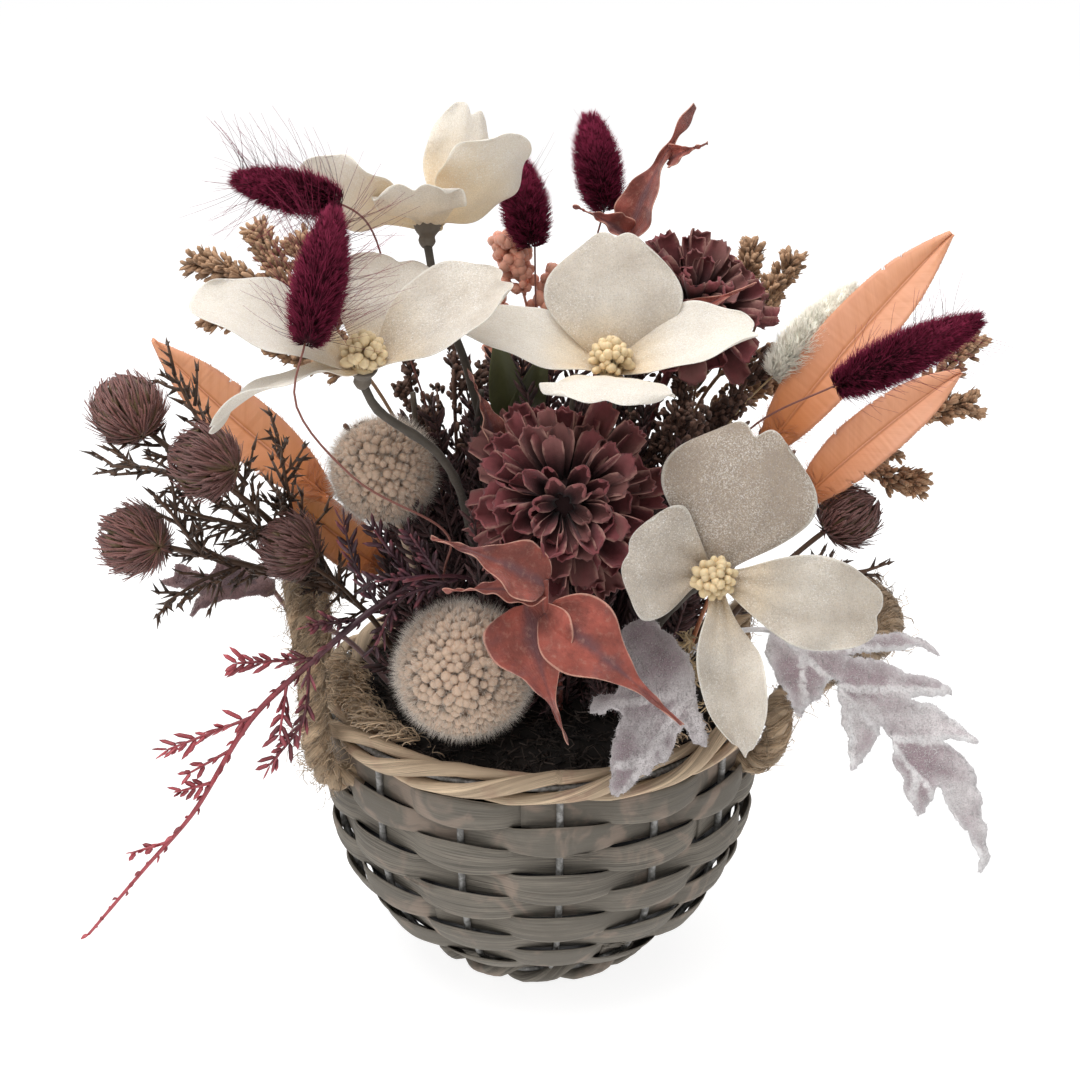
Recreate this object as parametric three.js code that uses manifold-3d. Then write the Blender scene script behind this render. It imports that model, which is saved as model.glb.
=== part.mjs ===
// A dried-look flower arrangement in a round splint basket on a wire frame, with two rope handles.
// Millimetres, +Z up. The origin is under the middle of the base board, and the front faces -Y.
// Angles round the basket start at the front and grow towards +X.
import * as THREE from "three";
import { mergeVertices } from "three/addons/utils/BufferGeometryUtils.js";
import Module from "manifold-3d";

const wasm = await Module();
wasm.setup();
const { Manifold, Mesh: SolidMesh } = wasm;

// Driving dimensions
const WALL_TOP = 112; // height of the wire hoop inside the rim border
const WALL_RADIUS = 84; // wire frame radius at the rim
const KEEL_RADIUS = 32; // where the wall's curve would meet the table
const FLARE = 4; // how quickly the wall opens from the keel
const UPRIGHTS = 14;
const UPRIGHT_TURN = THREE.MathUtils.degToRad(5); // first upright, right of the front
const WIRE = 1.4; // wire radius
const ROWS = 9;
const FIRST_ROW = 20; // height of the lowest splint row
const ROW_PITCH = 10;
const SPLINT_HEIGHT = 9.5;
const SPLINT_THICK = 1.4;
const GAP = 0.4; // clearance between neighbouring solids
const WEAVE = WIRE + SPLINT_THICK / 2 + GAP; // how far a splint stands off the wire's middle
const RIM_ROD = 2.3;
const RIM_TWIST = WIRE + RIM_ROD + 0.9;
const FOOT_ROD = 2.1;
const FOOT_TWIST = WIRE + FOOT_ROD + 0.9;
const FOOT_HEIGHT = 7.5;
const BOARD_RADIUS = 36.4;
const BOARD_THICK = 5;
const ROPE = 5.2; // rope radius
const FOAM_TOP = 120;
const FOAM_RADIUS = 58;
const FOAM_STEP = 66; // radius of the step that the moss lies on
const MOSS_FOOT = 103;
const STEM_FOOT = 104; // how deep the stems reach into the foam

const COLOURS = {
  splint: 0x8a7f75, rod: 0xa08a70, wire: 0x9a9c9e, board: 0x9c8466, jute: 0x9c8058, foam: 0x4a4038,
  moss: 0x3a302a, cream: 0xe9e0cf, stamen: 0xdcc191, bark: 0x4e453c, mauve: 0x7c4a49, ball: 0xcdb9a2,
  burgundy: 0x5a1636, white: 0xe6e0d2, peach: 0xdc9468, thistle: 0x54352f, velvet: 0xb5a3a4,
  rust: 0xa9523d, red: 0x8a3b40, seed: 0x6d5040, pink: 0xd89c84, olive: 0x4c4a28,
};

const point = (x, y, z) => new THREE.Vector3(x, y, z);
const toVector = (p) => (p.isVector3 ? p.clone() : point(...p));
const round = (angle, radius, z) => point(radius * Math.sin(angle), -radius * Math.cos(angle), z);
const wallCurve = (z) => WALL_RADIUS - (WALL_RADIUS - KEEL_RADIUS) * (1 - z / WALL_TOP) ** FLARE;

// The wall is straight between these heights, which lie between the splint rows.
const BENDS = [FOOT_HEIGHT, 25, 45, 65, WALL_TOP];

function wallRadius(z) {
  const next = Math.max(1, BENDS.findIndex((bend) => bend >= z));
  const [low, high] = [BENDS[next - 1], BENDS[next]];
  return wallCurve(low) + ((wallCurve(high) - wallCurve(low)) * (z - low)) / (high - low);
}

// A repeatable random draw from 0 to 1.
function dice(seed) {
  let state = seed * 7919 + 17;
  return () => {
    state = (state * 16807) % 2147483647;
    return state / 2147483647;
  };
}

// Solids

function solid(geometry) {
  const loose = geometry.index ? geometry.toNonIndexed() : geometry;
  const bare = new THREE.BufferGeometry().setAttribute("position", loose.getAttribute("position"));
  const merged = mergeVertices(bare, 1e-4);
  const vertProperties = merged.attributes.position.array;
  const triVerts = new Uint32Array(merged.index.array);
  const corner = (i) => new THREE.Vector3().fromArray(vertProperties, triVerts[i] * 3);
  let volume = 0;
  for (let i = 0; i < triVerts.length; i += 3) {
    volume += corner(i).dot(corner(i + 1).cross(corner(i + 2)));
  }
  if (volume < 0) {
    for (let i = 0; i < triVerts.length; i += 3) {
      [triVerts[i + 1], triVerts[i + 2]] = [triVerts[i + 2], triVerts[i + 1]];
    }
  }
  return new Manifold(new SolidMesh({ numProp: 3, vertProperties, triVerts }));
}

function fromFaces(corners, faces) {
  const positions = faces.flat().flatMap((i) => corners[i].toArray());
  const attribute = new THREE.Float32BufferAttribute(positions, 3);
  return solid(new THREE.BufferGeometry().setAttribute("position", attribute));
}

// Joins a row of equal rings of points into one closed skin: a loop, or a length with two flat ends.
function skin(rings, closed = false) {
  const sides = rings[0].length;
  const faces = [];
  const last = closed ? rings.length : rings.length - 1;
  for (let i = 0; i < last; i++) {
    const next = (i + 1) % rings.length;
    for (let j = 0; j < sides; j++) {
      const k = (j + 1) % sides;
      faces.push([i * sides + j, i * sides + k, next * sides + k]);
      faces.push([i * sides + j, next * sides + k, next * sides + j]);
    }
  }
  if (!closed) {
    const end = (rings.length - 1) * sides;
    for (let j = 1; j < sides - 1; j++) {
      faces.push([0, j + 1, j]);
      faces.push([end, end + j, end + j + 1]);
    }
  }
  return fromFaces(rings.flat(), faces);
}

// A rod along a smooth curve, narrowed evenly to tip times its radius. A rope has lobes, which its
// laid strands make, and each station is turned a little further than the last.
function rod(points, radius, { sides = 5, steps = 7, tip = 1, lobes = 0, turn = 0 } = {}) {
  const path = new THREE.CatmullRomCurve3(points.map(toVector), false, "centripetal");
  const section = new THREE.Shape();
  for (let i = 0; i < sides; i++) {
    const around = (2 * Math.PI * i) / sides;
    const reach = radius * (1 + (i % 2 ? -lobes : lobes));
    const corner = [reach * Math.cos(around), reach * Math.sin(around)];
    if (i) section.lineTo(...corner);
    else section.moveTo(...corner);
  }
  const made = new THREE.ExtrudeGeometry(section, { steps, bevelEnabled: false, extrudePath: path });
  const stations = path.getSpacedPoints(steps);
  const positions = made.getAttribute("position");
  for (let i = 0; i < positions.count; i++) {
    const place = new THREE.Vector3().fromBufferAttribute(positions, i);
    const distances = stations.map((station) => station.distanceTo(place));
    const nearest = distances.indexOf(Math.min(...distances));
    const tangent = path.getTangentAt(nearest / steps);
    const narrowed = 1 + ((tip - 1) * nearest) / steps;
    place.sub(stations[nearest]).applyAxisAngle(tangent, turn * nearest).multiplyScalar(narrowed);
    positions.setXYZ(i, ...place.add(stations[nearest]).toArray());
  }
  return solid(made);
}

// A thin curved blade. place(u, s) is its middle surface: u from root to tip, s from -1 to 1 across.
// Both faces are split into triangles alike.
function blade(place, { along = 4, across = 2, thickness = 1 } = {}) {
  const step = 1e-3;
  const upper = [];
  const lower = [];
  for (let i = 0; i <= along; i++) {
    for (let j = 0; j <= across; j++) {
      const u = i / along;
      const s = -1 + (2 * j) / across;
      const lengthwise = place(Math.min(1, u + step), s).sub(place(Math.max(0, u - step), s));
      const crosswise = place(u, Math.min(1, s + step)).sub(place(u, Math.max(-1, s - step)));
      const normal = crosswise.cross(lengthwise).normalize().multiplyScalar(thickness / 2);
      upper.push(place(u, s).add(normal));
      lower.push(place(u, s).sub(normal));
    }
  }
  const width = across + 1;
  const under = upper.length;
  const faces = [];
  for (let i = 0; i < along; i++) {
    for (let j = 0; j < across; j++) {
      const a = i * width + j;
      const [b, c, d] = [a + 1, a + width + 1, a + width];
      faces.push([a, b, c], [a, c, d]);
      faces.push([under + a, under + c, under + b], [under + a, under + d, under + c]);
    }
  }
  const edge = [];
  for (let j = 0; j < across; j++) edge.push(j);
  for (let i = 0; i < along; i++) edge.push(i * width + across);
  for (let j = across; j > 0; j--) edge.push(along * width + j);
  for (let i = along; i > 0; i--) edge.push(i * width);
  edge.forEach((a, n) => {
    const b = edge[(n + 1) % edge.length];
    faces.push([b, a, under + a], [b, under + a, under + b]);
  });
  return fromFaces([...upper, ...lower], faces);
}

// The middle surface of a petal, leaf or feather, between a root and a tip.
// facing is the way its upper side looks, arch lifts its middle along facing, cup lifts its edges,
// outline lists half-widths from root to tip, notch draws the middle of the tip back, rounding its corners.
function leafSurface({
  root, tip, facing, width, outline, arch = 0, cup = 0, notch = 0, rounding = 0, wave = 0,
}) {
  const start = toVector(root);
  const end = toVector(tip);
  const up = toVector(facing).normalize();
  const control = start.clone().add(end).multiplyScalar(0.5).addScaledVector(up, 2 * arch);
  const spine = new THREE.QuadraticBezierCurve3(start, control, end);
  return (u, s) => {
    const inside = THREE.MathUtils.clamp(u, 0, 1);
    const tangent = spine.getTangent(inside);
    const side = tangent.clone().cross(up).normalize();
    const normal = side.clone().cross(tangent);
    const slot = Math.min(inside * (outline.length - 1), outline.length - 1 - 1e-9);
    const share = slot - Math.floor(slot);
    const spread = outline[Math.floor(slot)] * (1 - share) + outline[Math.floor(slot) + 1] * share;
    const drawnBack = notch * (1 - Math.min(1, 2 * Math.abs(s))) + rounding * s * s;
    return spine
      .getPoint(u)
      .addScaledVector(side, (s * spread * width) / 2)
      .addScaledVector(normal, cup * s * s * spread + wave * s * Math.sin(5 * u))
      .addScaledVector(tangent, -drawnBack * u ** 3);
  };
}

// A leaf cut to an outline and bent along its length. The outline lists how far along each corner is,
// as a share of the length, and how far across, in millimetres.
function cutLeaf({ root, tip, facing, arch = 0, outline, thickness = 1.1 }) {
  const length = toVector(root).distanceTo(toVector(tip));
  const surface = leafSurface({ root, tip, facing, width: 2, outline: [1, 1], arch });
  const shape = new THREE.Shape(outline.map(([u, across]) => new THREE.Vector2(u * length, across)));
  const flat = new THREE.ExtrudeGeometry(shape, { depth: thickness, bevelEnabled: false });
  const positions = flat.getAttribute("position");
  for (let i = 0; i < positions.count; i++) {
    const u = positions.getX(i) / length;
    const across = positions.getY(i);
    const lengthwise = surface(u + 1e-3, across).sub(surface(u - 1e-3, across));
    const crosswise = surface(u, across + 1e-3).sub(surface(u, across - 1e-3));
    const normal = crosswise.cross(lengthwise).normalize();
    const place = surface(u, across).addScaledVector(normal, positions.getZ(i) - thickness / 2);
    positions.setXYZ(i, ...place.toArray());
  }
  return solid(flat);
}

// A small leaflet, floret petal or scale: flat below, ridged above, and widest at shoulder of its length.
function leaflet(root, tip, across, width, thickness, shoulder = 0.55) {
  const start = toVector(root);
  const end = toVector(tip);
  const along = end.clone().sub(start).normalize();
  const side = toVector(across).addScaledVector(along, -toVector(across).dot(along)).normalize();
  const ridge = side.clone().cross(along).multiplyScalar(thickness);
  const waist = start.clone().lerp(end, shoulder);
  const left = waist.clone().addScaledVector(side, -width / 2);
  const right = waist.clone().addScaledVector(side, width / 2);
  const corners = [start, end, left, right, waist.add(ridge)];
  return fromFaces(corners, [[0, 4, 2], [0, 3, 4], [1, 2, 4], [1, 4, 3], [0, 2, 1], [0, 1, 3]]);
}

// A three-sided needle or thorn
function spike(root, tip, width) {
  const start = toVector(root);
  const end = toVector(tip);
  const along = end.clone().sub(start).normalize();
  const side = point(along.y, -along.x, 0.3).cross(along).normalize();
  const corners = [0, 1, 2].map((i) =>
    side.clone().applyAxisAngle(along, (2 * Math.PI * i) / 3).multiplyScalar(width / Math.sqrt(3)).add(start),
  );
  return fromFaces([...corners, end], [[0, 2, 1], [0, 1, 3], [1, 2, 3], [2, 0, 3]]);
}

// An egg-shaped head whose every other point is drawn out into a tuft.
// lean turns the tufts from straight out towards the far end.
function burr(centre, axis, { length, radius, sides = 12, bands = 7, tuft = 3, lean = 0 }) {
  const geometry = new THREE.SphereGeometry(1, sides, bands);
  const positions = geometry.getAttribute("position");
  const turn = new THREE.Quaternion().setFromUnitVectors(point(0, 1, 0), toVector(axis).normalize());
  for (let i = 0; i < positions.count; i++) {
    const band = Math.floor(i / (sides + 1));
    const place = new THREE.Vector3().fromBufferAttribute(positions, i);
    const out = place.clone();
    place.multiply(point(radius, length / 2, radius));
    const column = (i % (sides + 1)) % sides;
    const raised = band > 0 && band < bands && (band + column) % 2 === 0;
    if (raised) place.addScaledVector(out.setY(out.y + lean).normalize(), tuft);
    place.applyQuaternion(turn).add(toVector(centre));
    positions.setXYZ(i, ...place.toArray());
  }
  return solid(geometry);
}

// The nodes

const basket = new THREE.Group();
const placed = [];
const stemHoles = [];

function largestBody(made) {
  const bodies = made.decompose();
  return bodies.sort((a, b) => b.volume() - a.volume())[0];
}

function addNode(name, parts, colour, roughness = 0.8, metalness = 0) {
  const made = largestBody(Manifold.union(parts.flat(Infinity)));
  const mesh = made.getMesh();
  const geometry = new THREE.BufferGeometry();
  geometry.setAttribute("position", new THREE.Float32BufferAttribute(mesh.vertProperties, 3));
  geometry.setIndex([...mesh.triVerts]);
  geometry.computeVertexNormals();
  const material = new THREE.MeshStandardMaterial({ color: COLOURS[colour], roughness, metalness });
  const node = new THREE.Mesh(geometry, material);
  node.name = name;
  basket.add(node);
  placed.push({ made, box: made.boundingBox() });
  return made;
}

// True if a small repeat keeps clear of every node that is already placed.
function isClear(repeat, clearance = GAP) {
  const box = repeat.boundingBox();
  const meets = (low, high, k) => low.min[k] < high.max[k] + clearance;
  const near = placed.filter(({ box: other }) =>
    [0, 1, 2].every((k) => meets(box, other, k) && meets(other, box, k)),
  );
  return near.every((other) => repeat.minGap(other.made, 2 * clearance) >= clearance);
}

const keepClear = (repeats) => repeats.filter((repeat) => isClear(repeat));

// A stem that stands in a plain hole in the foam. Its points run from the foam up to the head.
function stem(points, radius, { sides = 3, steps = 4 } = {}) {
  const [x, y] = points[0];
  const path = [[x, y, STEM_FOOT], ...points];
  stemHoles.push(rod(path, radius + 1.5 * GAP, { sides, steps }));
  return rod(path, radius, { sides, steps }).trimByPlane([0, 0, 1], STEM_FOOT + GAP);
}

// The basket

function wireFrame() {
  const hoop = (radius, z) => {
    const rings = [];
    const steps = 2 * UPRIGHTS;
    for (let i = 0; i < steps; i++) {
      const angle = UPRIGHT_TURN + (2 * Math.PI * i) / steps;
      const corners = [[WIRE, 0], [0, WIRE], [-WIRE, 0], [0, -WIRE]];
      rings.push(corners.map(([out, up]) => round(angle, radius + out, z + up)));
    }
    return skin(rings, true);
  };
  const uprights = [];
  for (let i = 0; i < UPRIGHTS; i++) {
    const angle = UPRIGHT_TURN + (2 * Math.PI * i) / UPRIGHTS;
    const rings = BENDS.map((z) => {
      const radius = wallRadius(z);
      const corners = [[WIRE, 0], [0, WIRE], [-WIRE, 0], [0, -WIRE]];
      return corners.map(([out, along]) => {
        const side = point(Math.cos(angle), Math.sin(angle), 0).multiplyScalar(along);
        return round(angle, radius + out, z).add(side);
      });
    });
    uprights.push(skin(rings));
  }
  return [hoop(wallRadius(FOOT_HEIGHT), FOOT_HEIGHT), hoop(WALL_RADIUS, WALL_TOP), ...uprights];
}

// One row of flat splint, in front of every other upright and behind the rest.
function splintRow(index) {
  const middle = FIRST_ROW + index * ROW_PITCH;
  const low = middle - SPLINT_HEIGHT / 2;
  const high = middle + SPLINT_HEIGHT / 2;
  const flat = 0.16; // share of the spacing over which the splint lies along an upright
  const rings = [];
  for (let i = 0; i < UPRIGHTS; i++) {
    const outside = (i + index) % 2 === 1 ? 1 : -1;
    for (const shift of [-flat, flat]) {
      const angle = UPRIGHT_TURN + (2 * Math.PI * (i + shift)) / UPRIGHTS;
      const inner = outside * WEAVE - SPLINT_THICK / 2;
      const outer = outside * WEAVE + SPLINT_THICK / 2;
      rings.push([
        round(angle, wallRadius(low) + inner, low),
        round(angle, wallRadius(low) + outer, low),
        round(angle, wallRadius(high) + outer, high),
        round(angle, wallRadius(high) + inner, high),
      ]);
    }
  }
  return skin(rings, true);
}

// A rod that twists round a hoop. From one upright to the next it moves on by one of the border's places,
// so that an upright always passes between two rods. It closes on itself after this many laps.
function twistedRod(radius, z, thickness, twist, { places, laps, firstTurn }) {
  const rings = [];
  for (let i = 0; i < 2 * UPRIGHTS * laps; i++) {
    const angle = UPRIGHT_TURN + (Math.PI * i) / UPRIGHTS;
    const turn = firstTurn + (Math.PI * i) / places;
    const middle = [radius + twist * Math.cos(turn), z + twist * Math.sin(turn)];
    const corners = [[thickness, 0], [0, thickness], [-thickness, 0], [0, -thickness]];
    rings.push(corners.map(([out, up]) => round(angle, middle[0] + out, middle[1] + up)));
  }
  return skin(rings, true);
}

// A rope loop outside the rim. Each end turns in through the wall between the two top rows, to a knot.
const HANDLES = {
  rope_handle_left: { middle: -85, reach: -3, crown: 161 },
  rope_handle_right: { middle: 95, reach: 42, crown: 140 },
};
const HANDLE_SPREAD = THREE.MathUtils.degToRad(360 / UPRIGHTS); // half the angle between the two ends
const HANDLE_HOLE = FIRST_ROW + (ROWS - 1.5) * ROW_PITCH;

function ropePath({ middle, reach, crown }) {
  const centre = THREE.MathUtils.degToRad(middle);
  const outside = WALL_RADIUS + RIM_TWIST + RIM_ROD + ROPE + 2;
  const leg = (sign) => {
    const angle = centre + sign * HANDLE_SPREAD;
    const lifted = centre + sign * 0.86 * HANDLE_SPREAD;
    return [
      round(angle, WALL_RADIUS - 9, HANDLE_HOLE - 1),
      round(angle, WALL_RADIUS - 2, HANDLE_HOLE),
      round(angle, WALL_RADIUS + 8, HANDLE_HOLE + 1),
      round(angle, outside, WALL_TOP - 4),
      round(angle, outside + 1, WALL_TOP + 10),
      round(lifted, outside + 0.35 * reach, 0.45 * (WALL_TOP + 10) + 0.55 * crown),
    ];
  };
  const top = [-0.4, 0.4].map((share) =>
    round(centre + share * HANDLE_SPREAD, outside + 0.92 * reach, crown),
  );
  return [...leg(-1), ...top, ...leg(1).reverse()];
}

function baseBoard() {
  return solid(new THREE.CylinderGeometry(BOARD_RADIUS, BOARD_RADIUS - 1, BOARD_THICK, 28)
    .rotateX(Math.PI / 2).translate(0, 0, BOARD_THICK / 2));
}

function lathe(profile, segments) {
  const outline = profile.map(([radius, z]) => new THREE.Vector2(radius, z));
  return solid(new THREE.LatheGeometry(outline, segments).rotateX(Math.PI / 2));
}

// Foam that fills the basket. A step below its top holds the moss.
function foamBlock() {
  const foot = BOARD_THICK + GAP;
  const clear = WEAVE + SPLINT_THICK / 2 + 3 * GAP;
  return lathe([
    [0, foot], [33, foot], [35, 16],
    ...[25, 45, 80].map((z) => [wallRadius(z) - clear, z]),
    [FOAM_STEP, HANDLE_HOLE - 10], [FOAM_STEP, MOSS_FOOT - GAP], [FOAM_RADIUS, MOSS_FOOT - GAP],
    [FOAM_RADIUS, FOAM_TOP], [0, FOAM_TOP],
  ], 12);
}

// A collar of moss clumps between the foam and the rim
function mossCollar() {
  const segments = 20;
  const outer = WALL_RADIUS - RIM_TWIST - RIM_ROD - 3 * GAP;
  const inner = FOAM_RADIUS + 2 * GAP;
  const random = dice(3);
  const rings = [];
  for (let i = 0; i < segments; i++) {
    const angle = (2 * Math.PI * i) / segments;
    rings.push([
      round(angle, inner, MOSS_FOOT),
      round(angle, outer, MOSS_FOOT),
      round(angle, outer - 2 * random(), MOSS_FOOT + 3 + 4 * random()),
      round(angle, (outer + inner) / 2 + 4 * random(), FOAM_TOP - 8 + 5 * random()),
      round(angle, inner, FOAM_TOP - 5 + 5 * random()),
    ]);
  }
  return skin(rings, true);
}

addNode("base_board", [baseBoard()], "board");
addNode("wire_frame", wireFrame(), "wire", 0.45, 0.8);
const ropeHoles = [];
for (const [name, shape] of Object.entries(HANDLES)) {
  const path = ropePath(shape);
  const knots = [path[0], path[path.length - 1]].map((end) =>
    solid(new THREE.SphereGeometry(ROPE + 1.6, 6, 3).translate(...end.toArray())),
  );
  addNode(name, [rod(path, ROPE, { sides: 6, steps: 20, lobes: 0.14, turn: 0.75 }), ...knots], "jute", 0.95);
  ropeHoles.push(rod(path.slice(0, 3), ROPE + 2.5, { sides: 5, steps: 1 }));
  ropeHoles.push(rod(path.slice(-3), ROPE + 2.5, { sides: 5, steps: 1 }));
}
for (let i = 0; i < ROWS; i++) {
  addNode(`weave_row_${i + 1}`, [Manifold.difference([splintRow(i), ...ropeHoles])], "splint", 0.85);
}
const rimRod = { places: 3, laps: 3, firstTurn: Math.PI / 2 };
addNode("rim_border", [twistedRod(WALL_RADIUS, WALL_TOP, RIM_ROD, RIM_TWIST, rimRod)], "rod", 0.7);
for (let i = 0; i < 2; i++) {
  const footRod = { places: 2, laps: 1, firstTurn: Math.PI * i };
  const made = twistedRod(wallRadius(FOOT_HEIGHT), FOOT_HEIGHT, FOOT_ROD, FOOT_TWIST, footRod);
  addNode(`foot_border_${i + 1}`, [made], "rod", 0.7);
}

// White flowers: four broad petals round a head of stamens

const WHITE_FLOWERS = [
  {
    centre: [-41, -5, 300], faces: [0, 0.62, 0.78],
    stem: [[-12, 4, 122], [-17, 2, 190], [-27, 0, 243], [-38, -13, 280]],
    petals: [
      { tip: [-86, -12, 323], width: 38, arch: -4, cup: 3, faces: [0.25, 0.75, 0.6] },
      { tip: [-6, -10, 334], width: 34, arch: -3, cup: 3, faces: [-0.3, 0.8, 0.5], wave: 2 },
      { tip: [-25, 22, 344], width: 34, arch: -3, cup: 3, faces: [-0.2, 0.75, 0.1], notch: 3 },
      { tip: [-47, -32, 312], width: 28, arch: -3, cup: 3, notch: 3 },
    ],
  },
  {
    centre: [-61, -60, 263], faces: [0.1, -0.35, 0.95],
    stem: [[-22, -20, 122], [-26, -28, 190], [-36, -50, 228], [-57, -56, 247]],
    petals: [
      { tip: [-118, -66, 287], width: 36, arch: 5, cup: 4, wave: 1 },
      { tip: [-50, -18, 293], width: 38, arch: 3, cup: 5, notch: 3 },
      { tip: [-10, -48, 291], width: 38, arch: 4, cup: 3, wave: -2, notch: 4 },
      { tip: [-108, -96, 252], width: 26, arch: 8, cup: 2, wave: 2 },
    ],
  },
  {
    centre: [25, -38, 255], faces: [0, -0.4, 0.92],
    stem: [[8, -4, 122], [12, -5, 180], [24, -18, 222], [26, -33, 243]],
    petals: [
      { tip: [27, -20, 302], width: 46, arch: 5, cup: -3, notch: 4, faces: [0, -1, 0.2] },
      { tip: [-29, -34, 271], width: 28, arch: 2, cup: 4, wave: 2 },
      { tip: [77, -40, 270], width: 30, arch: 4, cup: 4, wave: -2, notch: 3 },
      { tip: [22, -80, 257], width: 46, arch: 4, cup: -3, notch: 3 },
    ],
  },
  {
    centre: [61, -74, 191], faces: [-0.05, -0.9, 0.3],
    stem: [[38, -30, 122], [42, -36, 150], [52, -50, 172]],
    petals: [
      { tip: [74, -62, 242], width: 52, arch: 4, cup: -4, notch: 7 },
      { tip: [29, -82, 206], width: 38, arch: 2, cup: 3, notch: 4 },
      { tip: [119, -84, 180], width: 32, arch: 5, cup: 3, notch: 2 },
      { tip: [70, -104, 139], width: 24, arch: 7, cup: 3, wave: 4 },
    ],
  },
];
WHITE_FLOWERS.forEach(({ centre, faces, stem: path, petals }, n) => {
  const up = toVector(faces).normalize();
  const middle = toVector(centre);
  const headMiddle = middle.clone().addScaledVector(up, 8.6);
  const head = (extra) =>
    burr(headMiddle, up, { length: 11 + extra, radius: 7 + extra / 2, sides: 8, bands: 5, tuft: 1.8 });
  const blades = petals.map(({ tip, width, faces: own = faces, arch, cup, notch = 2, wave }) => {
    const way = toVector(tip).sub(middle);
    const root = middle.clone().addScaledVector(way.addScaledVector(up, -way.dot(up)).normalize(), 5.5);
    const outline = [0.14, 0.75, 1, 0.55];
    const form = { root, tip, facing: own, width, outline, arch, cup, notch, rounding: 5, wave };
    const surface = leafSurface(form);
    return blade(surface, { along: 3, across: 4, thickness: 1.1 });
  });
  const cup = middle.clone().addScaledVector(up, -1.2);
  const receptacle = burr(cup, up, { length: 8, radius: 9, sides: 8, bands: 3, tuft: 0 });
  const neck = middle.clone().addScaledVector(up, -5.2 - GAP);
  const bloom = Manifold.union([receptacle, ...blades]).subtract(head(2.5 * GAP));
  addNode(`white_flower_${n + 1}`, [bloom], "cream", 0.75);
  addNode(`white_flower_stamens_${n + 1}`, [head(0)], "stamen", 0.85);
  addNode(`white_flower_stem_${n + 1}`, [stem([...path, neck], 1.7, { sides: 4 })], "bark", 0.85);
});

// Chrysanthemums: rings of blunt petals over a domed core

function chrysanthemum(name, { centre, faces, radius, rings, stem: path }) {
  const axis = toVector(faces).normalize();
  const turn = new THREE.Quaternion().setFromUnitVectors(point(0, 1, 0), axis);
  const middle = toVector(centre);
  const random = dice(name.length);
  const petals = [];
  for (const [leanDegrees, count, reach] of rings) {
    for (let i = 0; i < count; i++) {
      const lean = THREE.MathUtils.degToRad(leanDegrees + 5 * (random() - 0.5));
      const around = (2 * Math.PI * (i + 0.25 * random() + leanDegrees / 30)) / count;
      const outward = new THREE.Vector3().setFromCylindricalCoords(Math.sin(lean), around, Math.cos(lean));
      const along = outward.clone().applyQuaternion(turn);
      const across = outward.clone().cross(point(0, 1, 0)).applyQuaternion(turn);
      const tip = middle.clone().addScaledVector(along, radius * reach * (0.94 + 0.12 * random()));
      const root = middle.clone().addScaledVector(along, radius * 0.38);
      petals.push(leaflet(root, tip, across, 0.3 * radius, 0.08 * radius, 0.74));
    }
  }
  const core = new THREE.SphereGeometry(radius * 0.5, 8, 4);
  core.applyQuaternion(turn).translate(...centre);
  addNode(name, [solid(core), petals, stem(path, 1.6, { sides: 4 })], "mauve", 0.9);
}

chrysanthemum("chrysanthemum_front", {
  centre: [8, -54, 212], faces: [0.02, -0.95, 0.32], radius: 37,
  rings: [[100, 13, 1], [78, 13, 1], [55, 11, 0.97], [33, 7, 0.92], [11, 3, 0.86]],
  stem: [[2, -20, 122], [3, -18, 150], [5, -24, 190], [8, -40, 208]],
});
chrysanthemum("chrysanthemum_back", {
  centre: [58, 26, 258], faces: [0.15, -0.45, 0.88], radius: 33,
  rings: [[95, 12, 1], [66, 10, 0.98], [36, 6, 0.92], [10, 2, 0.86]],
  stem: [[28, 12, 122], [34, 14, 180], [44, 20, 220], [55, 25, 248]],
});

// Fuzzy globe heads

function globe(name, centre, radius, path) {
  const head = burr(centre, [0.1, -0.2, 1], { length: 2 * radius, radius, sides: 14, bands: 8, tuft: 2.4 });
  addNode(name, [head, stem(path, 1.5)], "ball", 0.95);
}

globe("globe_head_upper", [-58, -28, 214], 19, [[-38, -12, 122], [-46, -16, 160], [-55, -25, 198]]);
globe("globe_head_lower", [-28, -58, 147], 24.5, [[-22, -36, 119], [-23, -40, 128], [-26, -50, 138]]);

// Plumes: soft tufted spikes on thin arching stems

const PLUMES = {
  plume_left: {
    root: [-70, -40, 317], tip: [-106, -50, 327], radius: 8,
    stem: [[-28, 2, 122], [-34, 6, 190], [-54, 8, 262], [-60, -10, 298], [-66, -34, 313], [-72, -40, 317]],
  },
  plume_arched: {
    root: [-77, -84, 279], tip: [-68, -60, 319], radius: 9.5,
    stem: [
      [-32, -24, 122], [-36, -36, 172], [-33, -72, 207], [-62, -100, 238], [-80, -96, 262], [-77, -83, 281],
    ],
  },
  plume_centre: {
    root: [-3, 22, 287], tip: [-8, 24, 320], radius: 7.5,
    stem: [[-2, 14, 122], [-1, 16, 200], [-2, 22, 289]],
  },
  plume_back: {
    root: [25, 30, 299], tip: [19, 34, 334], radius: 8,
    stem: [[12, 20, 122], [12, 26, 200], [18, 32, 270], [25, 30, 301]],
  },
  plume_right: {
    root: [106, -40, 251], tip: [154, -50, 278], radius: 9,
    stem: [[44, -6, 122], [54, -14, 180], [76, -34, 232], [108, -40, 252]],
  },
  plume_white: {
    root: [90, 20, 235], tip: [128, 35, 268], radius: 8.5, colour: "white",
    stem: [[46, 10, 122], [60, 12, 190], [76, 14, 222], [92, 21, 237]],
  },
};
for (const [name, { root, tip, radius, colour = "burgundy", stem: path }] of Object.entries(PLUMES)) {
  const [low, high] = [toVector(root), toVector(tip)];
  const axis = high.clone().sub(low);
  const middle = low.clone().lerp(high, 0.5);
  const shape = { length: axis.length() + 4, radius, sides: 8, bands: 6, tuft: 3.4, lean: 0.8 };
  addNode(name, [burr(middle, axis, shape), stem(path, 0.9, { steps: 6 })], colour, 0.95);
}

// Feathers with a stiff quill

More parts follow.
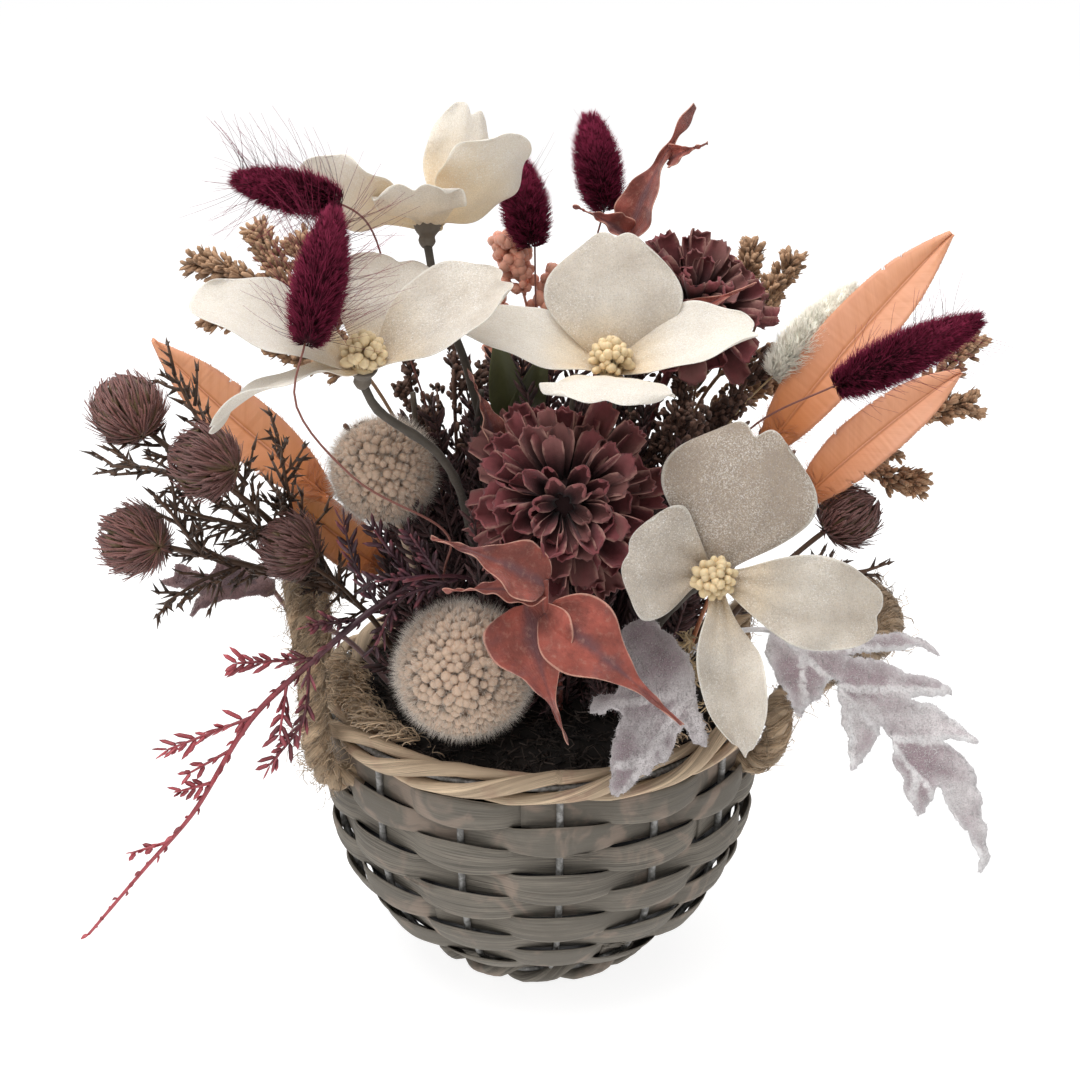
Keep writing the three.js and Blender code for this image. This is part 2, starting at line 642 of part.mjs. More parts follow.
const FEATHERS = {
  feather_left: {
    root: [-80, -8, 195], tip: [-146, 0, 256], faces: [0.5, -0.8, 0.4], width: 27, arch: -5,
    stem: [[-44, 4, 122], [-58, 4, 165], [-80, -8, 195]],
  },
  feather_left_low: {
    root: [-62, 6, 160], tip: [-98, -4, 196], faces: [0.4, -0.8, 0.4], width: 20, arch: -3,
    stem: [[-46, 16, 122], [-52, 14, 140], [-62, 6, 160]],
  },
  feather_right_back: {
    root: [84, 2, 212], tip: [155, 14, 294], faces: [-0.5, -0.8, 0.3], width: 32, arch: 6,
    stem: [[50, 18, 122], [60, 14, 170], [84, 2, 212]],
  },
  feather_right_front: {
    root: [98, -10, 196], tip: [160, -3, 246], faces: [-0.4, -0.8, 0.5], width: 28, arch: 5,
    stem: [[54, -2, 122], [70, -6, 160], [98, -10, 196]],
  },
};
for (const [name, { root, tip, faces, width, arch, stem: path }] of Object.entries(FEATHERS)) {
  const outline = [0.3, 0.9, 1, 0.9, 0.65, 0.12];
  const surface = leafSurface({ root, tip, facing: faces, width, outline, arch, cup: 3 });
  const vane = blade(surface, { along: 5, across: 2, thickness: 0.9 });
  addNode(name, [vane, stem([...path, surface(0.12, 0)], 1)], "peach", 0.7);
}

// Felted leaves with pointed lobes cut on both sides of the midrib

addNode("felted_leaf_right", [
  cutLeaf({
    root: [88, -42, 155], tip: [167, -78, 74], facing: [0.35, -0.75, 0.55], arch: 7,
    outline: [
      [-0.02, 1], [0.04, 11], [0.14, 15], [0.24, 19], [0.22, 12], [0.24, 9], [0.22, 1], [0.23, -4],
      [0.31, 5], [0.4, 12], [0.46, 20], [0.46, 7], [0.43, -4], [0.48, -3], [0.53, 3],
      [0.64, 7], [0.7, 9], [0.69, 2], [0.68, -3], [0.78, -2], [0.98, 3], [0.95, -4],
      [0.82, -15], [0.74, -21], [0.63, -22], [0.69, -28], [0.5, -26], [0.43, -20],
      [0.47, -25], [0.52, -36], [0.4, -28], [0.28, -23], [0.22, -16], [0.25, -22],
      [0.29, -27], [0.35, -38], [0.4, -41], [0.33, -41], [0.26, -36], [0.22, -27], [0.14, -12], [0.01, -5],
    ],
  }),
  stem([[46, -24, 120], [62, -32, 146], [88, -42, 155], [94, -47, 151]], 1.2),
], "velvet", 0.98);
addNode("felted_leaf_front", [
  cutLeaf({
    root: [62, -74, 160], tip: [27, -101, 114], facing: [-0.2, -0.9, 0.35], arch: 5,
    outline: [
      [0.14, 2], [0.26, -4], [0.34, -11], [0.44, -16], [0.46, -10], [0.4, -5], [0.49, -5], [0.64, -7],
      [0.65, -4], [0.75, -4], [0.77, -1], [0.87, -1], [0.97, 4], [0.87, 7], [0.78, 11], [0.6, 15],
      [0.52, 15], [0.54, 20], [0.62, 22], [0.62, 27], [0.52, 27], [0.46, 21], [0.36, 23],
      [0.25, 30], [0.1, 33], [0.01, 27], [0.02, 18], [0.08, 7],
    ],
  }),
  stem([[28, -42, 119], [36, -52, 146], [44, -72, 156], [46, -80, 152]], 1.2),
], "velvet", 0.98);
addNode("felted_leaf_left", [
  cutLeaf({
    root: [-103, -18, 163], tip: [-137, -27, 158], facing: [0, -0.7, 0.7], arch: 4,
    outline: [
      [-0.05, 2], [0.25, 4], [0.3, 10], [0.55, 6], [0.72, 8], [1, 0],
      [0.8, -6], [0.55, -5], [0.35, -12], [0.2, -6],
    ],
  }),
  stem([[-50, -16, 121], [-76, -12, 138], [-96, -14, 150], [-104, -18, 163], [-107, -19, 165]], 1.2),
], "velvet", 0.98);

// Rust-red leaves with long drawn-out tips

function heartLeaf({ root, tip, faces, width, arch = 3, curl = 0 }) {
  const surface = leafSurface({
    root, tip, facing: faces, width, outline: [0.14, 1, 0.7, 0.2, 0.06], arch, cup: 3, wave: curl,
  });
  return blade(surface, { along: 4, across: 2, thickness: 1 });
}

addNode("rust_leaf_sprig_front", [
  heartLeaf({ root: [2, -89, 194], tip: [-37, -93, 213], faces: [0, -0.7, 0.7], width: 20, arch: 4 }),
  heartLeaf({ root: [2, -87, 181], tip: [10, -98, 138], faces: [-0.3, -0.9, 0.3], width: 27, arch: 6 }),
  heartLeaf({ root: [2, -87, 185], tip: [49, -100, 146], faces: [0.3, -0.9, 0.4], width: 27, arch: 6 }),
  heartLeaf({ root: [2, -88, 190], tip: [-33, -84, 189], faces: [0, -0.5, 0.8], width: 14 }),
  stem([[8, -38, 120], [7, -46, 145], [4, -66, 164], [2, -84, 174]], 1.1),
  rod([[2, -84, 172], [2, -87, 181], [2, -88, 188], [2, -89, 196]], 1.1, { sides: 4, steps: 3 }),
], "rust");
addNode("rust_leaf_sprig_top", [
  heartLeaf({ root: [34, 20, 291], tip: [58, 26, 338], faces: [-0.5, -0.8, 0.2], width: 17, arch: 5 }),
  heartLeaf({ root: [34, 20, 290], tip: [12, 14, 303], faces: [0, -0.7, 0.6], width: 9 }),
  stem([[20, 4, 122], [20, 4, 200], [22, 4, 250], [34, 20, 293]], 1.2),
], "rust");

// Thistle sprays: bristly heads on branching stems with needle leaves

// Needles that stand off a straight twig on all sides and lean to its tip
function needles(low, high, { reach = 9, count = 8, twist = 2.4 } = {}) {
  const [from, to] = [toVector(low), toVector(high)];
  const along = to.clone().sub(from).normalize();
  const side = along.clone().cross(point(0.2, 0.9, 0.4)).normalize();
  const made = [];
  for (let i = 0; i < count; i++) {
    const root = from.clone().lerp(to, (i + 0.5) / count);
    const out = side.clone().applyAxisAngle(along, twist * i);
    const tip = root.clone().addScaledVector(out, 0.8 * reach).addScaledVector(along, 0.75 * reach);
    made.push(spike(root, tip, 1.3));
  }
  return keepClear(made);
}
const thistleHead = (centre, axis, radius) =>
  burr(centre, axis, { length: 1.9 * radius, radius, sides: 8, bands: 5, tuft: 2.4, lean: 1.2 });

// The start and end of each twig and its number of needles
const THISTLE_TWIGS = [
  [[-87, -29, 173], [-119, -34, 205], 6],
  [[-118, -34, 204], [-145, -35, 234], 5],
  [[-84, -28, 170], [-114, -48, 217], 7],
  [[-79, -26, 165], [-142, -41, 190], 9],
  [[-67, -20, 153], [-89, -46, 187], 4],
  [[-71, -22, 157], [-106, -60, 170], 5],
  [[-75, -24, 161], [-96, -36, 208], 5],
];

addNode("thistle_spray_left", [
  thistleHead([-149, -35, 240], [-0.5, 0, 0.8], 12.5),
  thistleHead([-119, -52, 226], [-0.6, -0.3, 0.6], 12.5),
  thistleHead([-149, -42, 192], [-0.9, -0.2, 0.3], 12.5),
  thistleHead([-91, -48, 192], [-0.2, -0.4, 0.9], 11),
  stem([[-48, -8, 121], [-66, -20, 152], [-88, -30, 174]], 1.3, { sides: 4 }),
  ...THISTLE_TWIGS.map(([low, high]) => rod([low, high], 1.3, { sides: 4, steps: 1 })),
  ...THISTLE_TWIGS.flatMap(([low, high, count]) => needles(low, high, { count })),
], "thistle", 0.9);
addNode("thistle_spray_right", [
  thistleHead([118, -12, 190], [0.7, -0.2, 0.6], 11.5),
  stem([[52, -14, 122], [76, -16, 152], [100, -13, 176], [112, -12, 186]], 1.2),
  rod([[86, -15, 161], [124, -24, 172]], 1.3, { sides: 4, steps: 1 }),
  needles([86, -15, 161], [124, -24, 172]),
  rod([[74, -16, 150], [112, -2, 164]], 1.3, { sides: 4, steps: 1 }),
  needles([74, -16, 150], [112, -2, 164]),
], "thistle", 0.9);

// Red sprigs, a long one that trails over the rim and a short one. Their leaflets stand in pairs.

function leafletPairs(low, high, count, length, width, random) {
  const [from, to] = [toVector(low), toVector(high)];
  const along = to.clone().sub(from).normalize();
  const leaflets = [];
  for (let i = 0; i < count; i++) {
    const root = from.clone().lerp(to, (i + 0.5) / count);
    const around = 2 * Math.PI * random();
    for (const sign of [-1, 1]) {
      const out = point(Math.cos(around), 0.4 * Math.sin(around), Math.sin(around)).multiplyScalar(sign);
      const way = out.addScaledVector(along, 0.9 - out.dot(along)).normalize();
      const tip = root.clone().addScaledVector(way, length * (0.8 + 0.4 * random()));
      leaflets.push(leaflet(root, tip, along, width, 1.2));
    }
  }
  return leaflets;
}

function redSprig(name, seed, trunk, thickness, branches) {
  const random = dice(seed);
  const parts = [trunk];
  const leaflets = [];
  for (const { points, pairs, length = 9, width = 2.8 } of branches) {
    parts.push(rod(points, thickness, { sides: 3, steps: points.length - 1 }));
    for (let i = 1; i < points.length; i++) {
      leaflets.push(...leafletPairs(points[i - 1], points[i], pairs, length, width, random));
    }
  }
  addNode(name, [...parts, ...keepClear(leaflets)], "red", 0.7);
}

const TRAIL = [
  [-44, -50, 179], [-61, -66, 174], [-80, -78, 161], [-102, -86, 142], [-125, -92, 106], [-143, -94, 85],
  [-167, -95, 56],
];
redSprig(
  "red_sprig_trailing", 11,
  [
    stem([[-42, -24, 121], [-46, -36, 156], TRAIL[0]], 1.3, { sides: 4 }),
    rod(TRAIL, 1.3, { sides: 4, steps: 9, tip: 0.5 }),
  ],
  0.9,
  [
    { points: [[-80, -78, 161], [-106, -88, 164]], pairs: 3 },
    { points: [[-82, -79, 160], [-84, -88, 142], [-96, -92, 126]], pairs: 2 },
    { points: [[-102, -86, 142], [-132, -92, 132]], pairs: 3 },
    { points: [[-118, -91, 118], [-128, -93, 116]], pairs: 1, length: 7 },
    { points: [[-134, -93, 95], [-146, -95, 92]], pairs: 1, length: 6 },
    { points: [[-58, -64, 175], [-66, -62, 190], [-70, -58, 204]], pairs: 1 },
    { points: [[-46, -52, 179], [-60, -52, 200]], pairs: 2 },
  ],
);
redSprig(
  "red_sprig_short", 5,
  stem([[-12, -44, 119], [-2, -36, 150], [-24, -46, 177], [-38, -62, 186], [-48, -76, 190]], 1.1),
  0.9,
  [
    { points: [[-36, -60, 185], [-46, -66, 204]], pairs: 3 },
    { points: [[-30, -53, 181], [-50, -64, 178], [-58, -82, 168]], pairs: 2 },
    { points: [[-40, -64, 187], [-58, -76, 190]], pairs: 2 },
  ],
);

// Seed sprays: knobbly spikes that leave a stem at its stations

function seedSpray(name, { stem: points, spikes, colour = "seed", knob = 2, thick = 1.8 }) {
  const steps = 8;
  const path = [[points[0][0], points[0][1], STEM_FOOT], ...points].map(toVector);
  const stations = new THREE.CatmullRomCurve3(path, false, "centripetal").getSpacedPoints(steps);
  const parts = [stem(points, 0.9, { steps })];
  for (const [station, tip] of spikes) {
    const axis = toVector(tip).sub(stations[station]);
    const shape = { length: axis.length() + 2, radius: thick, sides: 3, bands: 6, tuft: knob, lean: 0.4 };
    const spike = burr(stations[station].clone().addScaledVector(axis, 0.5), axis, shape);
    if (isClear(spike)) parts.push(spike);
  }
  addNode(name, parts, colour, 0.85);
}

seedSpray("seed_spray_left", {
  stem: [[-30, 18, 122], [-42, 18, 180], [-66, 16, 236], [-98, 18, 268]],
  spikes: [
    [8, [-130, 20, 280]],
    [7, [-124, 8, 262]],
    [7, [-108, 28, 290]],
    [6, [-92, 26, 286]],
    [6, [-100, 6, 252]],
  ],
});
seedSpray("seed_spray_back", {
  stem: [[34, 26, 122], [48, 30, 180], [66, 40, 222], [84, 44, 242]],
  spikes: [
    [8, [100, 50, 274]],
    [7, [84, 58, 276]],
    [7, [114, 44, 250]],
    [6, [100, 40, 230]],
    [6, [66, 56, 250]],
  ],
});
seedSpray("seed_spray_right", {
  stem: [[55, 9, 121], [84, 16, 168], [120, 16, 206], [146, 12, 230]],
  spikes: [
    [8, [164, 12, 252]],
    [7, [166, 6, 228]],
    [7, [150, 26, 226]],
    [6, [140, 26, 204]],
    [6, [146, 2, 198]],
  ],
});
seedSpray("bud_spray", {
  stem: [[-8, 24, 122], [-8, 28, 200], [-6, 30, 240], [-5, 32, 262]], colour: "pink", knob: 2.2, thick: 2.6,
  spikes: [
    [8, [-12, 30, 286]],
    [7, [8, 30, 272]],
    [7, [-24, 30, 268]],
    [6, [6, 30, 250]],
    [6, [-16, 36, 246]],
  ],
});

addNode("green_leaves", [
  heartLeaf({ root: [-10, -10, 226], tip: [-16, -16, 262], faces: [0, -0.9, 0.3], width: 14 }),
  heartLeaf({ root: [-10, -10, 222], tip: [2, -12, 256], faces: [0.2, -0.9, 0.3], width: 13 }),
  stem([[-10, -8, 122], [-10, -8, 180], [-10, -10, 228]], 1),
], "olive");

addNode("floral_foam", [Manifold.difference([foamBlock(), ...stemHoles])], "foam", 0.95);
addNode("moss", [mossCollar()], "moss", 0.98);

export default basket;
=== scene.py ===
"""A round splint basket with rope handles, filled with made flowers, plumes, feathers and foliage."""

import math

import bpy
import numpy as np
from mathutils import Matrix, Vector
from mathutils.geometry import delaunay_2d_cdt
from numpy.random import default_rng


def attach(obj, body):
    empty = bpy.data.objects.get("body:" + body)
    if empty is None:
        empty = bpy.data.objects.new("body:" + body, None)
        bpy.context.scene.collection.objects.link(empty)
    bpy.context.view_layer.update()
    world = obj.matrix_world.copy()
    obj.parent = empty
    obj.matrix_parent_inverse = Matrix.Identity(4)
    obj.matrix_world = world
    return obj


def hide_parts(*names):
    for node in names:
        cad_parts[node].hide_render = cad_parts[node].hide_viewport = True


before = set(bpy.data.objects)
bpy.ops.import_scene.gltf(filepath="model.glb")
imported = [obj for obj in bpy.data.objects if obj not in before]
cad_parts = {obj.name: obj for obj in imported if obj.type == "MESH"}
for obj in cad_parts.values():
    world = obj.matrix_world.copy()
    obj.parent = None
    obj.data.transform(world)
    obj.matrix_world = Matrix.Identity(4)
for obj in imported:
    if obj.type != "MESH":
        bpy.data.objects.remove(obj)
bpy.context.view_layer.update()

bl_info = {
    "name": "Flower Basket",
    "version": (1, 0, 0),
    "blender": (4, 5, 0),
    "location": "View3D > Sidebar > Flower Basket",
    "description": "Dresses the flower basket arrangement, piece by piece",
    "category": "Object",
}

MM = 0.001
TAU = 2 * math.pi
GOLDEN_SHARE, GOLDEN_ANGLE = 0.381966, 2.39996  # the golden angle as a share of a turn, and in radians
BODY = "root"
LOOK = "look"  # per point: tint of the copy, how far along it, how far across or towards its edge
GRAIN = "grain"  # per point: metres along the strand, metres across it, and a number for the strand

# Places in millimetres, shared with the solid model
UPRIGHT_TURN = math.radians(5)
BENDS = (7.5, 25, 45, 65, 112)
FOAM_TOP = 119


# Small maths

def tone(code):
    """The scene-linear colour of a six-figure screen colour."""
    shares = [((code >> shift) & 255) / 255 for shift in (16, 8, 0)]
    return tuple(c / 12.92 if c <= 0.04045 else ((c + 0.055) / 1.055) ** 2.4 for c in shares)


def vec(*values):
    """A vector of these values."""
    return np.array(values, float)


def unit(v):
    """Vectors of length one along these."""
    v = np.asarray(v, float)
    return v / np.maximum(np.linalg.norm(v, axis=-1, keepdims=True), 1e-12)


def dot(a, b):
    """The dot product of each pair of vectors, as a column."""
    return np.sum(np.asarray(a) * np.asarray(b), axis=-1, keepdims=True)


def runs(path):
    """How far along the path each of its points is."""
    return np.concatenate([[0], np.cumsum(np.linalg.norm(np.diff(path, axis=0), axis=1))])


def ring(turn):
    """Flat unit directions at these angles."""
    return np.stack([np.cos(turn), np.sin(turn)], -1)


def on_ball(polar, turn):
    """Unit directions at these angles from z, turned round it."""
    return np.stack(np.broadcast_arrays(np.sin(polar) * np.cos(turn), np.sin(polar) * np.sin(turn),
                                        np.cos(polar)), -1)


def net(rows, columns, loop=False, strip=False):
    """Corners of the quads between rows of points. Each row is a closed ring, or a strip, and loop joins
    the last row to the first."""
    a = np.arange(columns - strip)
    b = (a + 1) % columns
    i = np.arange(rows if loop else rows - 1)[:, None]
    j = (i + 1) % rows
    return np.stack([i * columns + a, i * columns + b, j * columns + b, j * columns + a], -1).reshape(-1, 4)


def even(count):
    """Evenly spaced shares from 0 to 1."""
    return np.linspace(0, 1, count)


def turns(count):
    """Evenly spaced angles once round."""
    return TAU * np.arange(count) / count


def heading(path):
    """The unit direction of a path at each of its points."""
    return unit(np.gradient(path, axis=0))


def far(one, two):
    """The distance between two points."""
    return float(np.linalg.norm(vec(*two) - vec(*one)))


def around(angle, radius, z):
    """A point round the basket. Angle 0 is the front, and angles grow towards +X."""
    return np.stack(np.broadcast_arrays(radius * np.sin(angle), -radius * np.cos(angle), z), -1)


def smooth_path(points, count):
    """Evenly spaced points on a smooth curve through the given ones."""
    p = np.asarray(points, float)
    p = np.vstack([2 * p[0] - p[1], p, 2 * p[-1] - p[-2]])
    knots = np.concatenate([[0], np.cumsum(np.sqrt(np.linalg.norm(np.diff(p, axis=0), axis=1)) + 1e-9)])
    fine = []
    for i in range(1, len(p) - 2):
        t = np.linspace(knots[i], knots[i + 1], 24, endpoint=False)[:, None]
        a = [((knots[i + j] - t) * p[i + j - 1] + (t - knots[i + j - 1]) * p[i + j])
             / (knots[i + j] - knots[i + j - 1]) for j in (0, 1, 2)]
        b = [((knots[i + j + 1] - t) * a[j] + (t - knots[i + j - 1]) * a[j + 1])
             / (knots[i + j + 1] - knots[i + j - 1]) for j in (0, 1)]
        fine.append(((knots[i + 1] - t) * b[0] + (t - knots[i]) * b[1]) / (knots[i + 1] - knots[i]))
    fine = np.vstack(fine + [p[-2:-1]])
    reach = runs(fine)
    wanted = np.linspace(0, reach[-1], count)
    return np.stack([np.interp(wanted, reach, fine[:, k]) for k in range(3)], -1)


def wave(values, at):
    """A smooth curve through evenly spaced values, read at shares of the way from 0 to 1."""
    values = np.asarray(values, float)
    x = np.clip(np.asarray(at, float), 0, 1) * (len(values) - 1)
    i = np.minimum(x.astype(int), len(values) - 2)
    f = x - i
    padded = np.concatenate([[2 * values[0] - values[1]], values, [2 * values[-1] - values[-2]]])
    a, b, c, d = (padded[i + k] for k in range(4))
    return b + 0.5 * f * (c - a + f * (2 * a - 5 * b + 4 * c - d + f * (3 * (b - c) + d - a)))


def wall_radius(z):
    """Radius of the basket's wire wall."""
    return np.interp(z, BENDS, [84 - 52 * (1 - b / 112) ** 4 for b in BENDS])


def any_side(directions, rng):
    """A unit vector square to each direction, turned at random."""
    directions = unit(directions)
    return unit(np.cross(directions, rng.normal(size=directions.shape)))


def bowed(starts, ends, shift):
    """Paths of three points, from start to end, with the middle one shifted."""
    return np.stack([starts, 0.5 * (starts + ends) + shift, ends], 1)


def astray(low, high, rng, amount):
    """Two ends and a middle that strays from the straight line between them."""
    return [low, 0.5 * (low + high) + rng.normal(size=3) * amount, high]


# Meshes

class Pile:
    """Gathers many copies and strands, in millimetres, into one mesh."""

    def __init__(self):
        self.points, self.faces, self.looks, self.grains = [], [], [], []
        self.count = 0

    def add(self, points, faces, tint=0.5, along=0.5, across=0.0, grain=(0, 0, 0)):
        points = np.asarray(points, float).reshape(-1, 3)
        n = len(points)
        look = np.stack([np.broadcast_to(np.asarray(a, float).ravel(), n) if np.size(a) in (1, n)
                         else np.repeat(np.asarray(a, float).ravel(), n // np.size(a))
                         for a in (tint, along, across)], -1)
        self.points.append(points)
        self.faces += [np.asarray(f, int) + self.count for f in faces if len(f)]
        self.looks.append(look)
        self.grains.append(np.broadcast_to(np.asarray(grain, float), (n, 3)))
        self.count += n
        return self

    def build(self, name):
        """The mesh object, selected alone and active."""
        points = np.vstack(self.points) * MM
        mesh = bpy.data.meshes.new(name)
        mesh.vertices.add(len(points))
        mesh.vertices.foreach_set("co", points.ravel())
        corners = np.concatenate([f.ravel() for f in self.faces])
        sizes = np.concatenate([np.full(len(f), f.shape[1]) for f in self.faces])
        mesh.loops.add(len(corners))
        mesh.loops.foreach_set("vertex_index", corners)
        mesh.polygons.add(len(sizes))
        mesh.polygons.foreach_set("loop_start", np.concatenate([[0], np.cumsum(sizes)[:-1]]))
        mesh.update(calc_edges=True)
        for key, rows in ((LOOK, self.looks), (GRAIN, self.grains)):
            stored = mesh.attributes.new(key, "FLOAT_VECTOR", "POINT")
            stored.data.foreach_set("vector", np.vstack(rows).ravel())
        mesh.shade_smooth()
        piece = bpy.data.objects.new(name, mesh)
        bpy.context.scene.collection.objects.link(piece)
        pick(piece)
        return piece


def pick(piece):
    """Selects one object alone and makes it active."""
    for other in bpy.context.selected_objects:
        other.select_set(False)
    piece.select_set(True)
    bpy.context.view_layer.objects.active = piece


def join(piece, *others):
    """Makes one piece of several. It keeps the first one's name."""
    pick(piece)
    for other in others:
        other.select_set(True)
    bpy.ops.object.join()
    return piece


def apply_modifier(piece, kind, **settings):
    """Adds a modifier with these settings and applies it."""
    pick(piece)
    bpy.ops.object.modifier_add(type=kind)
    modifier = piece.modifiers[-1]
    for key, value in settings.items():
        setattr(modifier, key, value)
    bpy.ops.object.modifier_apply(modifier=modifier.name)


def settle(piece, finish, slot, *nodes):
    """Gives a finished piece its material and its place in the frame."""
    piece.data.materials.clear()
    piece.data.materials.append(finish)
    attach(piece, BODY)
    if nodes:
        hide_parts(*nodes)
    return piece


def fresh(add, **settings):
    """A new piece of one of Blender's own shapes, selected alone, with its place in its mesh."""
    bpy.ops.object.select_all(action="DESELECT")
    add(**settings)
    bpy.ops.object.transform_apply()
    return bpy.context.object


class Shape:
    """A small modelled shape that is copied many times. It stands on its root and is one unit long:
    x runs across it, y is the way it faces, and z runs along it."""

    def __init__(self, piece):
        mesh = piece.data
        self.points = np.array([v.co for v in mesh.vertices])
        rings = [list(p.vertices) for p in mesh.polygons]
        self.faces = [np.array([r for r in rings if len(r) == n]) for n in (3, 4)]
        rest = [r for r in rings if len(r) > 4]
        fans = [(r[0], r[i], r[i + 1]) for r in rest for i in range(1, len(r) - 1)]
        if fans:
            self.faces.append(np.array(fans))
        bpy.data.objects.remove(piece)
        bpy.data.meshes.remove(mesh)

    def copies(self, pile, roots, tips, facing, width, depth=None, tint=None, droop=None, rng=None):
        """Adds a copy from each root to its tip. droop bends each one away from its straight line."""
        roots, tips, facing = np.broadcast_arrays(*(np.atleast_2d(np.asarray(a, float))
                                                    for a in (roots, tips, facing)))
        n = len(roots)
        way = tips - roots
        length = np.linalg.norm(way, axis=1, keepdims=True)
        z = way / np.maximum(length, 1e-9)
        y = unit(facing - dot(facing, z) * z)
        x = np.cross(y, z)
        width = np.broadcast_to(np.asarray(width, float), n).reshape(n, 1, 1)
        depth = width if depth is None else np.broadcast_to(np.asarray(depth, float), n).reshape(n, 1, 1)
        px, py, pz = (self.points[:, k][None, :, None] for k in range(3))
        points = roots[:, None] + x[:, None] * width * px + y[:, None] * depth * py + way[:, None] * pz
        if droop is not None:
            bend = np.broadcast_to(np.asarray(droop, float), (n, 3))
            points = points + bend[:, None] * length[:, None] * pz ** 2
        step = len(self.points)
        shift = (np.arange(n) * step)[:, None, None]
        faces = [(f[None] + shift).reshape(-1, f.shape[1]) for f in self.faces if len(f)]
        if tint is None:
            tint = default_rng(n).random(n) if rng is None else rng.random(n)
        along = np.tile(self.points[:, 2], n)
        across = np.tile(np.abs(self.points[:, 0]) * 2, n)
        pile.add(points, faces, np.repeat(np.broadcast_to(tint, n), step), along, across)
        return pile


def threads(pile, paths, radius, sides, taper, tint=None, seed=1, flat=1.0, facing=None):
    """Thin tapering strands along many paths of equally many points. With a facing they are ribbons."""
    paths = np.asarray(paths, float)
    n, k = paths.shape[:2]
    ways = unit(np.gradient(paths, axis=1))
    rng = default_rng(seed)
    if facing is None:
        first = any_side(ways.mean(1), rng)[:, None]
        side = unit(first - dot(first, ways) * ways)
    else:
        side = unit(np.cross(ways, facing))
    other = np.cross(ways, side)
    turn = turns(sides)
    slim = 1 + (taper - 1) * even(k)
    reach = np.broadcast_to(np.asarray(radius, float).reshape(-1, 1), (n, k)) * slim
    hoops = (side[:, :, None] * np.cos(turn)[None, None, :, None]
             + flat * other[:, :, None] * np.sin(turn)[None, None, :, None])
    points = paths[:, :, None] + hoops * reach[:, :, None, None]
    a = np.arange(sides)
    shift = (np.arange(n) * sides * k)[:, None, None]
    ends = np.array([a[::-1], (k - 1) * sides + a])
    faces = [(f + shift).reshape(-1, f.shape[1]) for f in (net(k, sides), ends)]
    tint = rng.random(n) if tint is None else np.broadcast_to(tint, n)
    along = np.tile(np.repeat(even(k), sides), n)
    pile.add(points, faces, np.repeat(tint, sides * k), along, 0)
    return pile


def carry(path):
    """Two directions square to a path at each of its points, without twist."""
    ways = heading(path)
    side = [any_side(ways[:1], default_rng(3))[0]]
    for way in ways[1:]:
        last = side[-1]
        side.append(unit(last - np.sum(last * way) * way))
    side = np.array(side)
    return side, np.cross(ways, side)


def sweep(pile, path, section, scale=1.0, sides=None, closed=False, tint=0.5, mark=0.0):
    """A section carried along a path. Its corners are measured along two sides, which are square to the
    path at each of its points. Its grain runs along the path."""
    path = np.asarray(path, float)
    one, two = sides or carry(path)
    section = np.asarray(section, float)
    k, m = len(path), section.shape[-2]
    scale = np.broadcast_to(np.asarray(scale, float), k)[:, None, None]
    section = np.broadcast_to(section, (k, m, 2)) if section.ndim == 2 else section
    points = path[:, None] + scale * (one[:, None] * section[:, :, :1] + two[:, None] * section[:, :, 1:])
    faces = [net(k, m, closed)]
    if not closed:
        a = np.arange(m)
        fan = np.stack([0 * a[2:], a[1:-1], a[2:]], -1)
        faces += [fan[:, ::-1], fan + (k - 1) * m]
    length, girth = runs(path) * MM, runs(points[0]) * MM
    grain = np.stack([np.repeat(length, m), np.tile(girth, k), np.full(k * m, mark)], -1)
    pile.add(points, faces, tint, np.repeat(even(k), m), np.tile(girth / girth[-1], k), grain)
    return pile


def circle(radius, sides):
    """Corners of a round section."""
    return radius * ring(turns(sides))


def cane(pile, points, radius, count, sides, tip=1.0, knots=0.0, tint=0.5):
    """A round stem along a smooth curve, with slightly thicker knots."""
    path = smooth_path(points, count)
    share = even(count)
    scale = (1 + (tip - 1) * share) * (1 + knots * np.maximum(0, np.cos(share * count * 1.7)) ** 6)
    return sweep(pile, path, circle(radius, sides), scale, tint=tint, mark=tint * 9)


# Shapes that are modelled once

def needle_shape(cuts=0):
    """A three-sided needle, with cuts across it where it has to bend."""
    piece = fresh(bpy.ops.mesh.primitive_cone_add, vertices=3, radius1=0.5, depth=1, location=(0, 0, 0.5))
    bpy.ops.object.mode_set(mode="EDIT")
    for i in range(cuts):
        bpy.ops.mesh.select_all(action="SELECT")
        bpy.ops.mesh.bisect(plane_co=(0, 0, (i + 1) / (cuts + 1)), plane_no=(0, 0, 1))
    bpy.ops.object.mode_set(mode="OBJECT")
    return Shape(piece)


def blade_shape(widths, lift, cup, thickness, across=2, fold=0.0, teeth=0.0, tip=0.0, crowd=1.0):
    """A petal, leaflet or scale: a grid whose rows are drawn in to these widths and lifted by these
    heights, its edges raised by cup and its middle sunk by fold, and given a thickness. Its end may be
    cut into teeth, its end corners drawn back by tip, and its rows crowded towards the end."""
    rows = len(widths)
    piece = fresh(bpy.ops.mesh.primitive_grid_add, x_subdivisions=across, y_subdivisions=rows - 1, size=1,
                  rotation=(math.pi / 2, 0, 0), location=(0, 0, 0.5))
    lifts = wave(lift, even(rows))
    for v in piece.data.vertices:
        row = round(v.co.z * (rows - 1))
        s = 2 * v.co.x
        v.co.x *= widths[row]
        v.co.y = lifts[row] + cup * s * s * widths[row] - fold * (1 - abs(s)) * widths[row]
        v.co.z = 1 - (1 - row / (rows - 1)) ** crowd
        if row == rows - 1:
            v.co.z -= teeth * (0.5 + 0.5 * math.cos(TAU * 1.5 * s)) + tip * s * s
    piece.data.update()
    apply_modifier(piece, "SOLIDIFY", thickness=thickness, offset=0)
    return Shape(piece)


